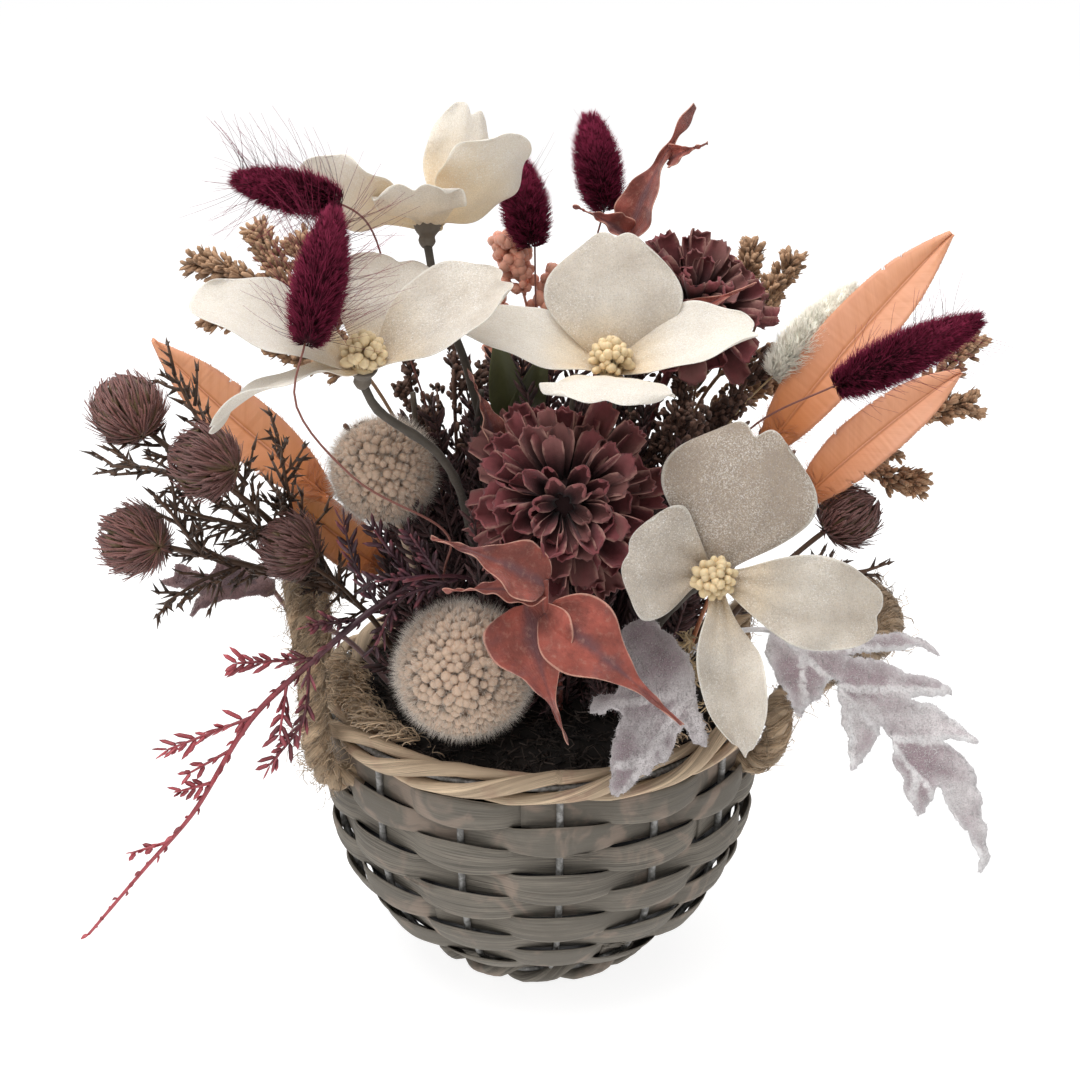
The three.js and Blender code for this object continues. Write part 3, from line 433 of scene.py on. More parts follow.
def bead_shape(segments, rings, taper=0.0):
    """A round bead one unit long, drawn in towards its root by taper."""
    piece = fresh(bpy.ops.mesh.primitive_uv_sphere_add, segments=segments, ring_count=rings, radius=0.5,
                  location=(0, 0, 0.5))
    for v in piece.data.vertices:
        slim = 1 - taper * (1 - v.co.z)
        v.co.x *= slim
        v.co.y *= slim
    return Shape(piece)


# Petals and leaves

def leaf_place(root, tip, facing, width, outline, arch, cup=0, notch=0, rounding=0, roll=0, ruffle=0,
               ruffles=3.0, crease=0.0, phase=0.0, curl=0.0):
    """The middle surface of a petal, leaf or feather. It is a function of u, from root to tip,
    and s, from -1 to 1 across, which may be arrays."""
    root, tip, up = vec(*root), vec(*tip), unit(vec(*facing))
    control = (root + tip) / 2 + 2 * arch * up

    def place(u, s):
        u, s = np.broadcast_arrays(np.asarray(u, float), np.asarray(s, float))
        t = u[..., None]
        spine = (1 - t) ** 2 * root + 2 * t * (1 - t) * control + t ** 2 * tip
        tangent = unit(2 * (1 - t) * (control - root) + 2 * t * (tip - control))
        side = unit(np.cross(tangent, up))
        normal = np.cross(side, tangent)
        spread = np.maximum(wave(outline, u), 0.02)
        back = notch * np.maximum(0, 1 - 2.2 * np.abs(s)) ** 1.5
        back = back + rounding * (1 - np.sqrt(np.maximum(0, 1 - 0.97 * s * s)))
        rise = cup * s * s * spread + roll * s * np.sin(5 * u)
        rise = rise + ruffle * s * s * np.sin(TAU * ruffles * u + phase + 1.3 * s)
        rise = rise + crease * np.cos(9 * s + 2 * np.sin(3 * u + phase)) * (1 - 0.5 * u)
        rise = rise + curl * np.maximum(0, u - 0.6) ** 2
        point = spine + side * (s * spread * width / 2)[..., None] + normal * rise[..., None]
        return point - tangent * (back * u ** 3)[..., None]

    return place


def petal_sheet(pile, place, along, across, tint=0.5, spread=1.0):
    """One petal as an open sheet, with how far along and how near its edge each point is. A spread under 1
    draws the look of its foot out over it."""
    u, s = np.meshgrid(even(along + 1), np.linspace(-1, 1, across + 1), indexing="ij")
    edge = np.maximum(np.abs(s), np.maximum(0, 2 * u - 1) ** 3)
    grain = np.stack([u.ravel() * 0.05, s.ravel() * 0.02, np.full(u.size, tint * 7)], -1)
    pile.add(place(u, s), [net(*u.shape, strip=True)], tint, u.ravel() * spread, edge.ravel(), grain)


def thicken(piece, thickness, levels):
    """Gives a sheet its thickness and rounds it."""
    apply_modifier(piece, "SOLIDIFY", thickness=thickness * MM, offset=0)
    if levels:
        apply_modifier(piece, "SUBSURF", levels=levels, render_levels=levels)
    piece.data.shade_smooth()
    return piece


def near_veins(points, veins):
    """How far each flat point is from the nearest of these straight veins."""
    gap = np.full(len(points), 1e3)
    for start, end in veins:
        start, end = np.asarray(start, float), np.asarray(end, float)
        way = end - start
        share = np.clip(((points - start) @ way) / max(way @ way, 1e-9), 0, 1)
        gap = np.minimum(gap, np.linalg.norm(points - start - share[:, None] * way, axis=1))
    return gap


def cut_leaf(pile, root, tip, facing, arch, outline, lobes):
    """A lobed leaf: its outline is smoothed, filled with an even net and bent along its length.
    Outline and lobes hold how far along, as a share, and how far across, in millimetres."""
    spacing = 1.9
    length = far(root, tip)
    corners = np.array(outline, float) * (length, 1)
    loop = np.vstack([corners, corners[:1]])
    steps = []
    for a, b in zip(loop[:-1], loop[1:]):
        n = max(2, int(np.linalg.norm(b - a) / (0.7 * spacing)))
        steps.append(a + (b - a) * np.linspace(0, 1, n, endpoint=False)[:, None])
    rim = np.vstack(steps)
    for _ in range(2):
        rim = 0.5 * rim + 0.25 * (np.roll(rim, 1, 0) + np.roll(rim, -1, 0))
    rng = default_rng(len(outline))
    rim = rim + rng.normal(size=rim.shape) * 0.17 * spacing
    low, high = rim.min(0), rim.max(0)
    gx, gy = np.meshgrid(np.arange(low[0], high[0], spacing), np.arange(low[1], high[1], spacing))
    inner = np.stack([gx.ravel(), gy.ravel()], -1)
    inner = inner + rng.uniform(-0.25, 0.25, inner.shape) * spacing
    inside = np.zeros(len(inner), bool)
    x1, y1 = rim.T
    x2, y2 = np.roll(rim, -1, 0).T
    for k, (x, y) in enumerate(inner):
        hit = ((y1 > y) != (y2 > y)) & (x < (x2 - x1) * (y - y1) / (y2 - y1 + 1e-12) + x1)
        inside[k] = hit.sum() % 2 == 1
    clear = np.array([np.min(np.linalg.norm(rim - p, axis=1)) > 0.55 * spacing for p in inner])
    flat = np.vstack([rim, inner[inside & clear]])
    made = delaunay_2d_cdt([Vector(p) for p in flat], [], [list(range(len(rim)))], 1, 1e-6)
    flat = np.array([list(p) for p in made[0]])
    faces = np.array([f for f in made[2] if len(f) == 3])
    veins = [((0, 0), (length, 0))]
    veins += [((max(0.02, u - abs(v) / length * 0.9) * length, 0), (u * length, v)) for u, v in lobes]
    gap = near_veins(flat, veins)
    rim_gap = np.array([np.min(np.linalg.norm(rim - p, axis=1)) for p in flat])
    surface = leaf_place(root, tip, facing, 2, [1, 1], arch=arch)
    u = flat[:, 0] / length
    base = surface(u, flat[:, 1])
    step = 1e-3
    lengthwise = surface(u + step, flat[:, 1]) - surface(u - step, flat[:, 1])
    crosswise = surface(u, flat[:, 1] + step) - surface(u, flat[:, 1] - step)
    normal = unit(np.cross(crosswise, lengthwise))
    rise = 0.9 * np.exp(-(gap / 1.3) ** 2) - 0.6 * np.exp(-(gap / 0.5) ** 2)
    rise = rise + 1.2 * np.exp(-rim_gap / 5) * np.sin(0.35 * flat[:, 0] + 0.5 * flat[:, 1])
    vein = np.exp(-(gap / 0.8) ** 2)
    points = base + normal * rise[:, None]
    pile.add(points, [faces], np.exp(-rim_gap / 1.6), vein, np.clip(u, 0, 1))
    return pile


def fuzz(piece, count, length, width, seed, lean):
    """Short fibres that stand on a finished mesh."""
    mesh = piece.data
    mesh.calc_loop_triangles()
    points = np.empty(len(mesh.vertices) * 3)
    mesh.vertices.foreach_get("co", points)
    points = points.reshape(-1, 3) / MM
    corners = np.empty(len(mesh.loop_triangles) * 3, int)
    mesh.loop_triangles.foreach_get("vertices", corners)
    a, b, c = (points[corners.reshape(-1, 3)[:, k]] for k in range(3))
    normal = np.cross(b - a, c - a)
    area = np.linalg.norm(normal, axis=1)
    rng = default_rng(seed)
    pick_one = rng.choice(len(area), count, p=area / area.sum())
    r1, r2 = np.sqrt(rng.random((count, 1))), rng.random((count, 1))
    roots = (1 - r1) * a[pick_one] + r1 * (1 - r2) * b[pick_one] + r1 * r2 * c[pick_one]
    way = unit(unit(normal[pick_one]) + lean * rng.normal(size=(count, 3)))
    tips = roots + way * length * rng.uniform(0.6, 1.2, (count, 1))
    pile = Pile()
    NEEDLE.copies(pile, roots - 0.1 * way, tips, any_side(way, rng), width, rng=rng)
    return pile.build(piece.name + "_fuzz")


# Shader writing

class Wire:
    """A shader socket that takes Python's operators."""

    def __init__(self, kit, socket):
        self.kit = kit
        self.socket = socket

    def operator(operation, turned=False):
        def combine(self, other):
            pair = (other, self) if turned else (self, other)
            return self.kit.node("ShaderNodeMath", {"operation": operation}, dict(enumerate(pair)))
        return combine

    __add__ = __radd__ = operator("ADD")
    __mul__ = __rmul__ = operator("MULTIPLY")
    __sub__ = operator("SUBTRACT")
    __rsub__ = operator("SUBTRACT", True)


class Kit:
    """A material with its shader and what is commonly wired into it."""

    def __init__(self, name, **constants):
        self.material = bpy.data.materials.new(name)
        self.material.use_nodes = True
        self.tree = self.material.node_tree
        self.shader = self.tree.nodes["Principled BSDF"]
        for key, value in constants.items():
            self.shader.inputs[key.replace("_", " ")].default_value = value

    def node(self, kind, settings=None, values=None, output=0):
        made = self.tree.nodes.new(kind)
        for key, value in (settings or {}).items():
            setattr(made, key, value)
        for key, value in (values or {}).items():
            if isinstance(value, Wire):
                self.tree.links.new(value.socket, made.inputs[key])
            else:
                made.inputs[key].default_value = value
        return Wire(self, made.outputs[output])

    def attribute(self, name):
        return self.node("ShaderNodeAttribute", {"attribute_name": name}, output="Vector")

    def look(self):
        """Each copy's tint, how far along it a point is, and how far across it."""
        split = self.node("ShaderNodeSeparateXYZ", {}, {0: self.attribute(LOOK)})
        return [Wire(self, output) for output in split.socket.node.outputs]

    def object_place(self, scale=(1, 1, 1)):
        place = self.node("ShaderNodeTexCoord", output="Object")
        return self.node("ShaderNodeMapping", {}, {"Vector": place, "Scale": scale})

    def grain_place(self, along, across):
        """Grain coordinates drawn out along the strand, different on each strand."""
        values = {"Vector": self.attribute(GRAIN), "Scale": (along, across, 3.7)}
        return self.node("ShaderNodeMapping", {}, values)

    def noise(self, scale, place=None, detail=3.0, rough=0.55, twist=0.0):
        place = place or self.object_place()
        return self.node("ShaderNodeTexNoise", {}, {"Vector": place, "Scale": scale, "Detail": detail,
                                                    "Roughness": rough, "Distortion": twist})

    def speckle(self, scale):
        """One random value for each small cell."""
        values = {"Vector": self.object_place(), "Scale": scale}
        cell = self.node("ShaderNodeTexVoronoi", {"feature": "F1"}, values, "Color")
        return self.node("ShaderNodeSeparateColor", {}, {0: cell})

    def between(self, value, low, high):
        """0 where the value is under low and 1 above high, even between them."""
        return self.node("ShaderNodeMapRange", {"clamp": True, "interpolation_type": "SMOOTHSTEP"},
                         {"Value": value, "From Min": low, "From Max": high})

    def mix(self, share, one, two):
        """A colour that goes from one to two."""
        one, two = (c if isinstance(c, Wire) else (*c, 1)[:4] for c in (one, two))
        return self.node("ShaderNodeMix", {"data_type": "RGBA"}, {0: share, 6: one, 7: two}, 2)

    def lay(self, body, level, low, high, colour, share=None):
        """The body with a colour laid over it where the level goes from low to high."""
        spread = self.between(level, low, high)
        return self.mix(spread if share is None else spread * share, body, colour)

    def shade(self, level, low, high, colour, dark, light):
        """The colour, from dark to light as the level goes from low to high."""
        return self.mix(self.between(level, low, high), lit(colour, dark), lit(colour, light))

    def bump(self, height, distance, strength, under=None):
        values = {"Height": height, "Distance": distance * MM, "Strength": strength}
        if under:
            values["Normal"] = under
        return self.node("ShaderNodeBump", {}, values)

    def wire(self, **links):
        for key, value in links.items():
            self.tree.links.new(value.socket, self.shader.inputs[key.replace("_", " ")])
        return self.material


def lit(colour, share):
    """The colour made darker or lighter."""
    return tuple(min(1.0, c * share) for c in colour[:3])


# Finishes

def split_willow(name, colour, stain=(0.5, 0.36, 0.28), rough=0.8):
    """Dry willow: lines along the strip, pale worn edges, darker bands and a few stains."""
    kit = Kit(name, Roughness=rough)
    tint, _, edge = kit.look()
    lines = kit.noise(1.0, kit.grain_place(45, 2400), 4, 0.7)
    bands = kit.noise(1.0, kit.grain_place(16, 420), 3, 0.6, 0.4)
    patch = kit.noise(34, detail=3)
    fine = kit.between(lines * 0.75 + bands * 0.4, 0.42, 0.72)
    body = kit.mix(fine, lit(colour, 0.45), lit(colour, 1.2))
    body = kit.lay(body, patch + tint * 0.3, 0.5, 0.9, lit(colour, 0.72))
    cracks = kit.between(kit.noise(1.0, kit.grain_place(9, 900), 3, 0.6), 0.66, 0.74)
    body = kit.mix(cracks * 0.6, body, lit(colour, 0.28))
    body = kit.lay(body, kit.noise(52, twist=1.0) + tint * 0.15, 0.6, 0.78, stain, 0.35)
    wear_and_sheen = kit.between(edge + lines * 0.35, 1.04, 1.22)
    body = kit.mix(wear_and_sheen * 0.5, body, lit(colour, 1.6))
    relief = kit.bump(lines + bands * 0.8 - cracks * 0.5, 0.7, 0.7)
    return kit.wire(Base_Color=body, Normal=relief, Roughness=0.72 + fine * 0.16)


def galvanised_wire():
    """Dull spotted zinc."""
    kit = Kit("galvanised_wire", Metallic=0.25)
    spots = kit.noise(620, detail=2)
    dull = kit.noise(90, detail=3)
    body = kit.mix(kit.between(spots, 0.35, 0.7), (0.17, 0.165, 0.155), (0.36, 0.355, 0.345))
    return kit.wire(Base_Color=body, Roughness=0.38 + dull * 0.3, Normal=kit.bump(spots, 0.1, 0.4))


def sawn_board(colour):
    """Sawn wood with its year rings."""
    kit = Kit("sawn_board", Roughness=0.85)
    grain = kit.noise(1.0, kit.object_place((24, 420, 60)), 4, 0.6)
    rings = kit.noise(1.0, kit.object_place((5, 60, 30)), 2, 0.5, 0.8)
    body = kit.mix(kit.between(grain * 0.5 + rings * 0.6, 0.4, 0.75), lit(colour, 0.6), colour)
    return kit.wire(Base_Color=body, Normal=kit.bump(grain, 0.3, 0.5))


def fibre_finish(name, colour, dark=0.45, light=1.5, sheen=0.25):
    """Hairy laid fibre, dark between the fibres and pale on loose ones."""
    kit = Kit(name, Roughness=0.9, Sheen_Weight=sheen, Sheen_Roughness=0.6)
    tint = kit.look()[0]
    hairs = kit.noise(1.0, kit.grain_place(60, 2600), 4, 0.7, 0.3)
    patch = kit.noise(85, detail=3)
    share = kit.between(hairs * 0.5 + tint * 0.35 + patch * 0.3, 0.3, 0.85)
    body = kit.mix(share, lit(colour, dark), lit(colour, light))
    return kit.wire(Base_Color=body, Normal=kit.bump(hairs + patch * 0.5, 0.6, 0.8))


def velvet_petal(colour, heart, shadow):
    """Thick flocked cloth, warm at its heart, with a fine sparkle."""
    kit = Kit("velvet_petal", Sheen_Weight=0.2, Sheen_Roughness=0.45, Subsurface_Weight=0.12,
              Subsurface_Radius=(0.004, 0.003, 0.002), Subsurface_Scale=1.0)
    tint, reach, edge = kit.look()
    cloud = kit.noise(70, detail=4)
    pile = kit.noise(2600, detail=2)
    weave = kit.noise(1.0, kit.grain_place(320, 1700), 2)
    patch = kit.between(kit.noise(46, detail=3, twist=0.5), 0.38, 0.66)
    sparkle = kit.between(kit.speckle(3300), 0.86, 0.97) * (0.3 + 0.7 * patch)
    warm = 1 - kit.between(reach + cloud * 0.3, 0.15, 0.64)
    body = kit.mix(warm * 0.9, colour, heart)
    # Painted shade: each petal's tint is its shade, and together with a cloud it pulls the petal towards the
    # shadow colour.
    body = kit.lay(body, cloud * 0.6 + tint * 0.9, 0.3, 1.1, shadow)
    body = kit.lay(body, pile + weave * 0.35, 0.45, 0.85, lit(heart, 0.62), 0.3)
    grain = kit.noise(1700, detail=4, rough=0.8)
    # Painted shade also darkens the fine grain, more strongly on the more shaded petals.
    body = kit.lay(body, grain, 0.48, 0.66, lit(shadow, 0.6), 0.12 + tint * 0.5)
    # Painted sheen: lighter patches in the fine grain where the velvet catches the light, more of them on the
    # shaded petals.
    wear_and_sheen = kit.between(grain, 0.52, 0.34) * patch * (0.15 + tint * 0.55)
    body = kit.mix(wear_and_sheen, body, lit(colour, 0.95))
    body = kit.lay(body, edge, 0.93, 1.0, lit(colour, 1.15), 0.35)
    # Painted glints: white flecks of the sparkle laid into the base colour.
    body = kit.mix(sparkle * 0.45, body, (1.0, 1.0, 1.0))
    relief = kit.bump(pile + weave * 0.4 + grain * 0.8, 0.5, 0.75, kit.bump(cloud, 2.4, 0.6))
    return kit.wire(Base_Color=body, Normal=relief, Roughness=0.85 - sparkle * 0.55)


def soft_finish(name, colour, low, high, tips, tip_colour, scale, rough, relief, sheen=0.15, glow=0.0,
                edge_colour=None, foot_tone_and_shade=None, root_reach=0.8, blotch=None, **constants):
    """The common finish of small copied shapes: each copy has its own tint, and its tip may differ."""
    kit = Kit(name, Roughness=rough, Sheen_Weight=sheen, Sheen_Roughness=0.5, Subsurface_Weight=glow,
              Subsurface_Radius=(0.003, 0.002, 0.0015), **constants)
    tint, reach, edge = kit.look()
    mottle = kit.noise(scale, detail=3)
    body = kit.shade(tint * 0.6 + mottle * 0.5, 0.2, 0.95, colour, low, high)
    body = kit.lay(body, reach + mottle * 0.25, 0.45, 1.1, tip_colour or colour, tips)
    if blotch:
        body = kit.lay(body, kit.noise(50, detail=3) + tint * 0.4, 0.6, 0.95, blotch, 0.6)
    if edge_colour:
        body = kit.lay(body, edge + mottle * 0.45, 0.98, 1.24, edge_colour, 0.8)
    if foot_tone_and_shade:
        # At the foot: painted shade for the chrysanthemums and plumes, where they sink into the bloom, and
        # the thistles' own olive colour.
        body = kit.mix(1 - kit.between(reach + mottle * 0.2, 0.15, root_reach), body, foot_tone_and_shade)
    return kit.wire(Base_Color=body, Normal=kit.bump(kit.noise(scale * 5, detail=2) + mottle, relief, 0.5))


def moulded_sprig(colour, dark):
    """Moulded foliage that turns from dark purple brown over the basket to dusty red at its tail and tips."""
    kit = Kit("red_moulded", Roughness=0.5)
    tint, reach, _ = kit.look()
    mottle = kit.noise(160, detail=3)
    split = kit.node("ShaderNodeSeparateXYZ", {}, {0: kit.object_place()})
    tail = kit.between(mottle * 0.03 - split, 0.082, 0.13)
    body = kit.shade(tint * 0.6 + mottle * 0.5, 0.2, 0.95, dark, 0.5, 1.6)
    bright = kit.shade(tint * 0.6 + mottle * 0.5, 0.2, 0.95, colour, 0.6, 1.25)
    body = kit.mix(tail, body, bright)
    body = kit.lay(body, reach + tint * 0.5, 0.85, 1.4, lit(colour, 1.3), 0.25 + tail * 0.5)
    return kit.wire(Base_Color=body, Normal=kit.bump(kit.noise(800, detail=2), 0.15, 0.5))


def cloth_leaf(colour, vein, rim):
    """Thin printed cloth, darker along the midrib, pale at its cut edge."""
    kit = Kit("rust_cloth", Roughness=0.68, Sheen_Weight=0.2, Sheen_Roughness=0.5)
    tint, reach, edge = kit.look()
    cloud = kit.noise(95, detail=4)
    thread = kit.noise(1.0, kit.grain_place(500, 900), 2)
    streak = 1 - kit.between(edge + cloud * 0.34 + reach * 0.1, 0.14, 0.52)
    dust = kit.noise(420, detail=4, rough=0.7)
    body = kit.shade(cloud + tint * 0.35, 0.42, 0.85, colour, 0.55, 1.25)
    body = kit.mix(streak * 0.7, body, vein)
    body = kit.lay(body, kit.noise(60, detail=4, twist=0.6), 0.52, 0.72, vein, 0.5)
    body = kit.lay(body, dust, 0.5, 0.8, lit(rim, 0.75), 0.4)
    body = kit.lay(body, dust, 0.5, 0.25, lit(colour, 0.4), 0.4)
    body = kit.lay(body, edge + dust * 0.1, 1.0, 1.06, rim, 0.6)
    return kit.wire(Base_Color=body, Normal=kit.bump(thread + cloud * 2.0 + dust, 0.6, 0.6))


def felt_leaf(name, colour, vein):
    """Flocked leaf: soft pile, a mauve cast along its veins and a pale rim."""
    kit = Kit(name, Roughness=0.95, Sheen_Weight=0.6, Sheen_Roughness=0.5)
    rim, rib, _ = kit.look()
    cloud = kit.noise(80, detail=4)
    pile = kit.noise(1900, detail=2)
    body = kit.shade(cloud, 0.35, 0.7, colour, 0.8, 1.1)
    # Mauve in the hollows: partly the flock's own tint, partly painted shade where the hollows lie in shadow.
    hollow = kit.between(kit.noise(38, detail=3) + cloud * 0.3 - rib * 0.5, 0.52, 0.78)
    body = kit.mix(hollow * 0.85, body, vein)
    body = kit.lay(body, pile, 0.4, 0.75, lit(vein, 0.7), 0.5)
    body = kit.mix(rib * 0.5, body, lit(colour, 1.2))
    body = kit.mix(rim * 0.45, body, lit(colour, 1.35))
    return kit.wire(Base_Color=body, Normal=kit.bump(pile, 0.5, 0.7, kit.bump(cloud, 1.2, 0.4)))


def feather_vane(colour, deep):
    """Dyed feather: satin with fine barb lines, deeper towards the quill and the root, pale at its edge."""
    kit = Kit("feather_vane", Roughness=0.55, Sheen_Weight=0.12, Sheen_Roughness=0.4,
              Subsurface_Weight=0.15, Subsurface_Radius=(0.004, 0.002, 0.001), Subsurface_Scale=1.0)
    _, reach, edge = kit.look()
    barbs = kit.noise(1.0, kit.grain_place(2100, 40), 3, 0.6)
    bands = kit.noise(1.0, kit.grain_place(330, 12), 2, 0.5)
    cloud = kit.noise(34, detail=3)
    body = kit.mix(kit.between(reach + cloud * 0.3, 0.15, 0.75), deep, colour)
    body = kit.lay(body, bands + cloud * 0.5, 0.6, 1.0, lit(deep, 0.95), 0.2)
    body = kit.lay(body, barbs, 0.35, 0.8, lit(deep, 0.85), 0.12)
    body = kit.lay(body, edge + reach * 0.3, 0.8, 1.2, lit(colour, 1.2), 0.4)
    body = kit.lay(body, edge + cloud * 0.1, 0.2, 0.09, lit(deep, 0.9), 0.75)
    return kit.wire(Base_Color=body, Normal=kit.bump(barbs + bands * 0.4, 0.08, 0.3))


# Operators

CAMERA, AIM, LENS = (0, -0.6954, 0.4560), (0, 0, 0.175), 64
MAKERS = []


def operator(label, settings="bloom_look"):
    """Give the function that makes a piece an operator, which runs it with its group of settings."""
    def wrap(make):
        name = make.__name__.removeprefix("make_")

        def execute(self, context):
            if context.mode != "OBJECT":
                raise RuntimeError("the basket is made in object mode")
            make(getattr(context.scene, settings))
            return {"FINISHED"}

        MAKERS.append(type("BASKET_OT_" + name, (bpy.types.Operator,), {
            "__doc__": make.__doc__, "bl_idname": "flower_basket." + name, "bl_label": label,
            "bl_options": {"REGISTER"}, "execute": execute}))
        return make
    return wrap


@operator("Stage", "stage_look")
def make_stage(look):
    """A pale floor, soft studio light and the camera at the photograph's angle."""
    scene = bpy.context.scene
    floor = fresh(bpy.ops.mesh.primitive_circle_add, vertices=96, radius=60, fill_type="NGON",
                  location=(0, 0, -0.0004))
    floor.name = "floor"
    kit = Kit("pale_floor", Roughness=0.9)
    kit.shader.inputs["Base Color"].default_value = (0.35, 0.35, 0.35, 1)
    kit.shader.inputs["Emission Color"].default_value = (1, 1, 1, 1)
    kit.shader.inputs["Emission Strength"].default_value = look.floor_glow
    floor.data.materials.append(kit.material)
    world = bpy.data.worlds.new("studio")
    world.use_nodes = True
    world.node_tree.nodes["Background"].inputs["Color"].default_value = (1.0, 1.0, 1.0, 1)
    world.node_tree.nodes["Background"].inputs["Strength"].default_value = look.room_light
    scene.world = world
    for place, size, power in (((-0.25, -0.1, 1.5), 1.3, look.key_light),
                               ((-0.7, -1.1, 1.2), 1.2, look.key_light * 0.22),
                               ((0.3, 1.1, 1.2), 1.2, look.key_light * 0.3)):
        bpy.ops.object.light_add(type="AREA", location=place)
        lamp = bpy.context.object
        lamp.data.size = size
        lamp.data.energy = power
        lamp.rotation_euler = (Vector((0, 0, 0.17)) - Vector(place)).to_track_quat("-Z", "Y").to_euler()
    bpy.ops.object.camera_add(location=CAMERA)
    camera = bpy.context.object
    camera.rotation_euler = (Vector(AIM) - camera.location).to_track_quat("-Z", "Y").to_euler()
    camera.data.sensor_width = 36
    camera.data.lens = LENS
    camera.data.clip_start = 0.01
    scene.camera = camera
    scene.view_settings.view_transform = "Standard"


# The basket

WALL_TOP, WALL_RADIUS = 112, 84
UPRIGHTS = 14
ROWS, FIRST_ROW, ROW_PITCH = 9, 20, 10
RIM_TWIST, FOOT_TWIST, FOOT_HEIGHT = 4.6, 4.4, 7.5
HANDLES = {"left": (-85, -3, 161), "right": (95, 42, 140)}
HANDLE_SPREAD = TAU / UPRIGHTS
HANDLE_HOLE = 95
ROD, ROPE, ROPE_GAP, ROPE_LAY = 2.3, 5.2, 2, 24
LINER_LOW, LINER_HIGH, LINER_GAP = 11, 92, 3.3


@operator("Base board", "basket_look")
def make_board(look):
    """The board and the foam keep their solids, with the look of sawn wood and of dry foam."""
    for node, finish in (("base_board", sawn_board(look.board_colour)),
                         ("floral_foam", fibre_finish("dry_foam", look.moss_colour, sheen=0.0))):
        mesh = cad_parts[node].data
        mesh.materials.clear()
        mesh.materials.append(finish)


@operator("Wire frame", "basket_look")
def make_wires(look):
    """Two hoops, and one upright that is modelled once and copied round them."""
    hoops = []
    for radius, z in ((wall_radius(FOOT_HEIGHT), FOOT_HEIGHT), (WALL_RADIUS, WALL_TOP)):
        hoops.append(fresh(bpy.ops.mesh.primitive_torus_add, major_radius=radius * MM, major_segments=112,
                           minor_radius=look.wire_radius, minor_segments=8, location=(0, 0, z * MM)))
    pile = Pile()
    z = np.linspace(FOOT_HEIGHT, WALL_TOP, 40)
    for i in range(UPRIGHTS):
        angle = UPRIGHT_TURN + TAU * i / UPRIGHTS
        path = around(angle, wall_radius(z), z)
        outward = np.tile(around(angle, 1, 0), (len(z), 1))
        sideways = np.cross(heading(path), outward)
        sweep(pile, path, circle(look.wire_radius / MM, 8), 1, (outward, sideways), tint=i / UPRIGHTS)
    frame_wires = join(pile.build("wire_uprights"), *hoops)
    frame_wires.data.shade_smooth()
    settle(frame_wires, galvanised_wire(), "wire", "wire_frame")


@operator("Splint rows", "basket_look")
def make_splints(look):
    """Nine rows of flat split willow, in front of every other upright and behind the rest. The two ends
    of each row lie over each other behind an upright."""
    finish = split_willow("split_willow", look.splint_colour)
    thick = look.splint_thickness / MM
    wide = look.splint_height / MM
    per_bay = 14
    for row in range(ROWS):
        rng = default_rng(40 + row)
        middle = FIRST_ROW + row * ROW_PITCH
        start = 2 * ((3 * row + 4) % 7) + row % 2 - 0.38
        at = start + np.arange(int((UPRIGHTS + 0.76) * per_bay)) / per_bay
        turn = UPRIGHT_TURN + TAU * at / UPRIGHTS
        swing = -np.cos(np.pi * (at + row))
        drift = np.interp(at, start + np.arange(17), rng.normal(size=17))
        lift = np.interp(at, start + np.arange(17), rng.normal(size=17)) * 0.45
        off = np.sign(swing) * np.abs(swing) ** 0.75 * (2.35 + 0.3 * drift * (swing > 0)) + 0.35 * (swing > 0)
        off = off - 1.1 * thick * np.clip((at - start - UPRIGHTS) / 0.3 + 0.6, 0, 1) + 0.5 * thick
        tall = wide * (0.79 + 0.21 * np.abs(swing) ** 1.5) * (1 + 0.03 * drift)
        z = middle + lift
        v = np.linspace(-1, 1, 9)
        half = thick / 2 * np.sqrt(np.maximum(0.12, 1 - np.abs(v) ** 5))
        heights = z[:, None] + v[None] * tall[:, None] / 2
        ripple = 0.10 * np.sin(2.4 * v[None] * 3 + 5 * drift[:, None])
        bulge = 0.55 * (1 - v[None] ** 2) * np.clip(swing[:, None], 0.1, 1)
        base = wall_radius(heights) + off[:, None] + bulge + ripple
        outer, inner = base + half[None], base - half[None]
        radius = np.concatenate([outer, inner[:, ::-1]], 1)
        height = np.concatenate([heights, heights[:, ::-1]], 1)
        k, m = radius.shape
        a = np.arange(m)
        caps = [np.stack([a[:8], a[1:9], 17 - a[1:9], 17 - a[:8]], -1)]
        caps.append((caps[0] + (k - 1) * m)[:, ::-1])
        edge = np.tile(np.abs(np.concatenate([v, v[::-1]])), k)
        run = np.repeat((at - start) * TAU / UPRIGHTS * 0.075, m)
        side = np.tile(np.concatenate([v, v[::-1] + 3]) * wide / 2 * MM, k)
        grain = np.stack([run, side, np.full(k * m, 0.31 * row)], -1)
        pile = Pile()
        pile.add(around(turn[:, None], radius, height), [net(k, m)[:, ::-1], *caps], rng.random(),
                 np.repeat(even(k), m), edge, grain)
        if row in (1, 4, 6):
            fray(pile, row, rng)
        settle(pile.build(f"splint_row_{row + 1}"), finish, "splint", f"weave_row_{row + 1}")


@operator("Liner", "basket_look")
def make_liner(look):
    """The dark film inside the weave, which keeps the light out of its gaps."""
    kit = Kit("dark_film", Roughness=0.45)
    folds = kit.noise(60, detail=3, twist=1.2)
    body = kit.shade(folds, 0.35, 0.7, look.liner_colour, 0.6, 1.5)
    film = kit.wire(Base_Color=body, Roughness=0.35 + folds * 0.3, Normal=kit.bump(folds, 1.2, 0.6))
    z = np.linspace(LINER_LOW, LINER_HIGH, 24)
    turn = (turns(96))[None]
    skin = wall_radius(z) - LINER_GAP
    radius = np.concatenate([skin, skin[::-1] - 0.4])[:, None] + 0.15 * np.sin(11 * turn)
    height = np.concatenate([z, z[::-1]])[:, None] + 0 * turn
    pile = Pile()
    pile.add(around(turn, radius, height), [net(*height.shape, loop=True)])
    settle(pile.build("dark_liner"), film, "moss")


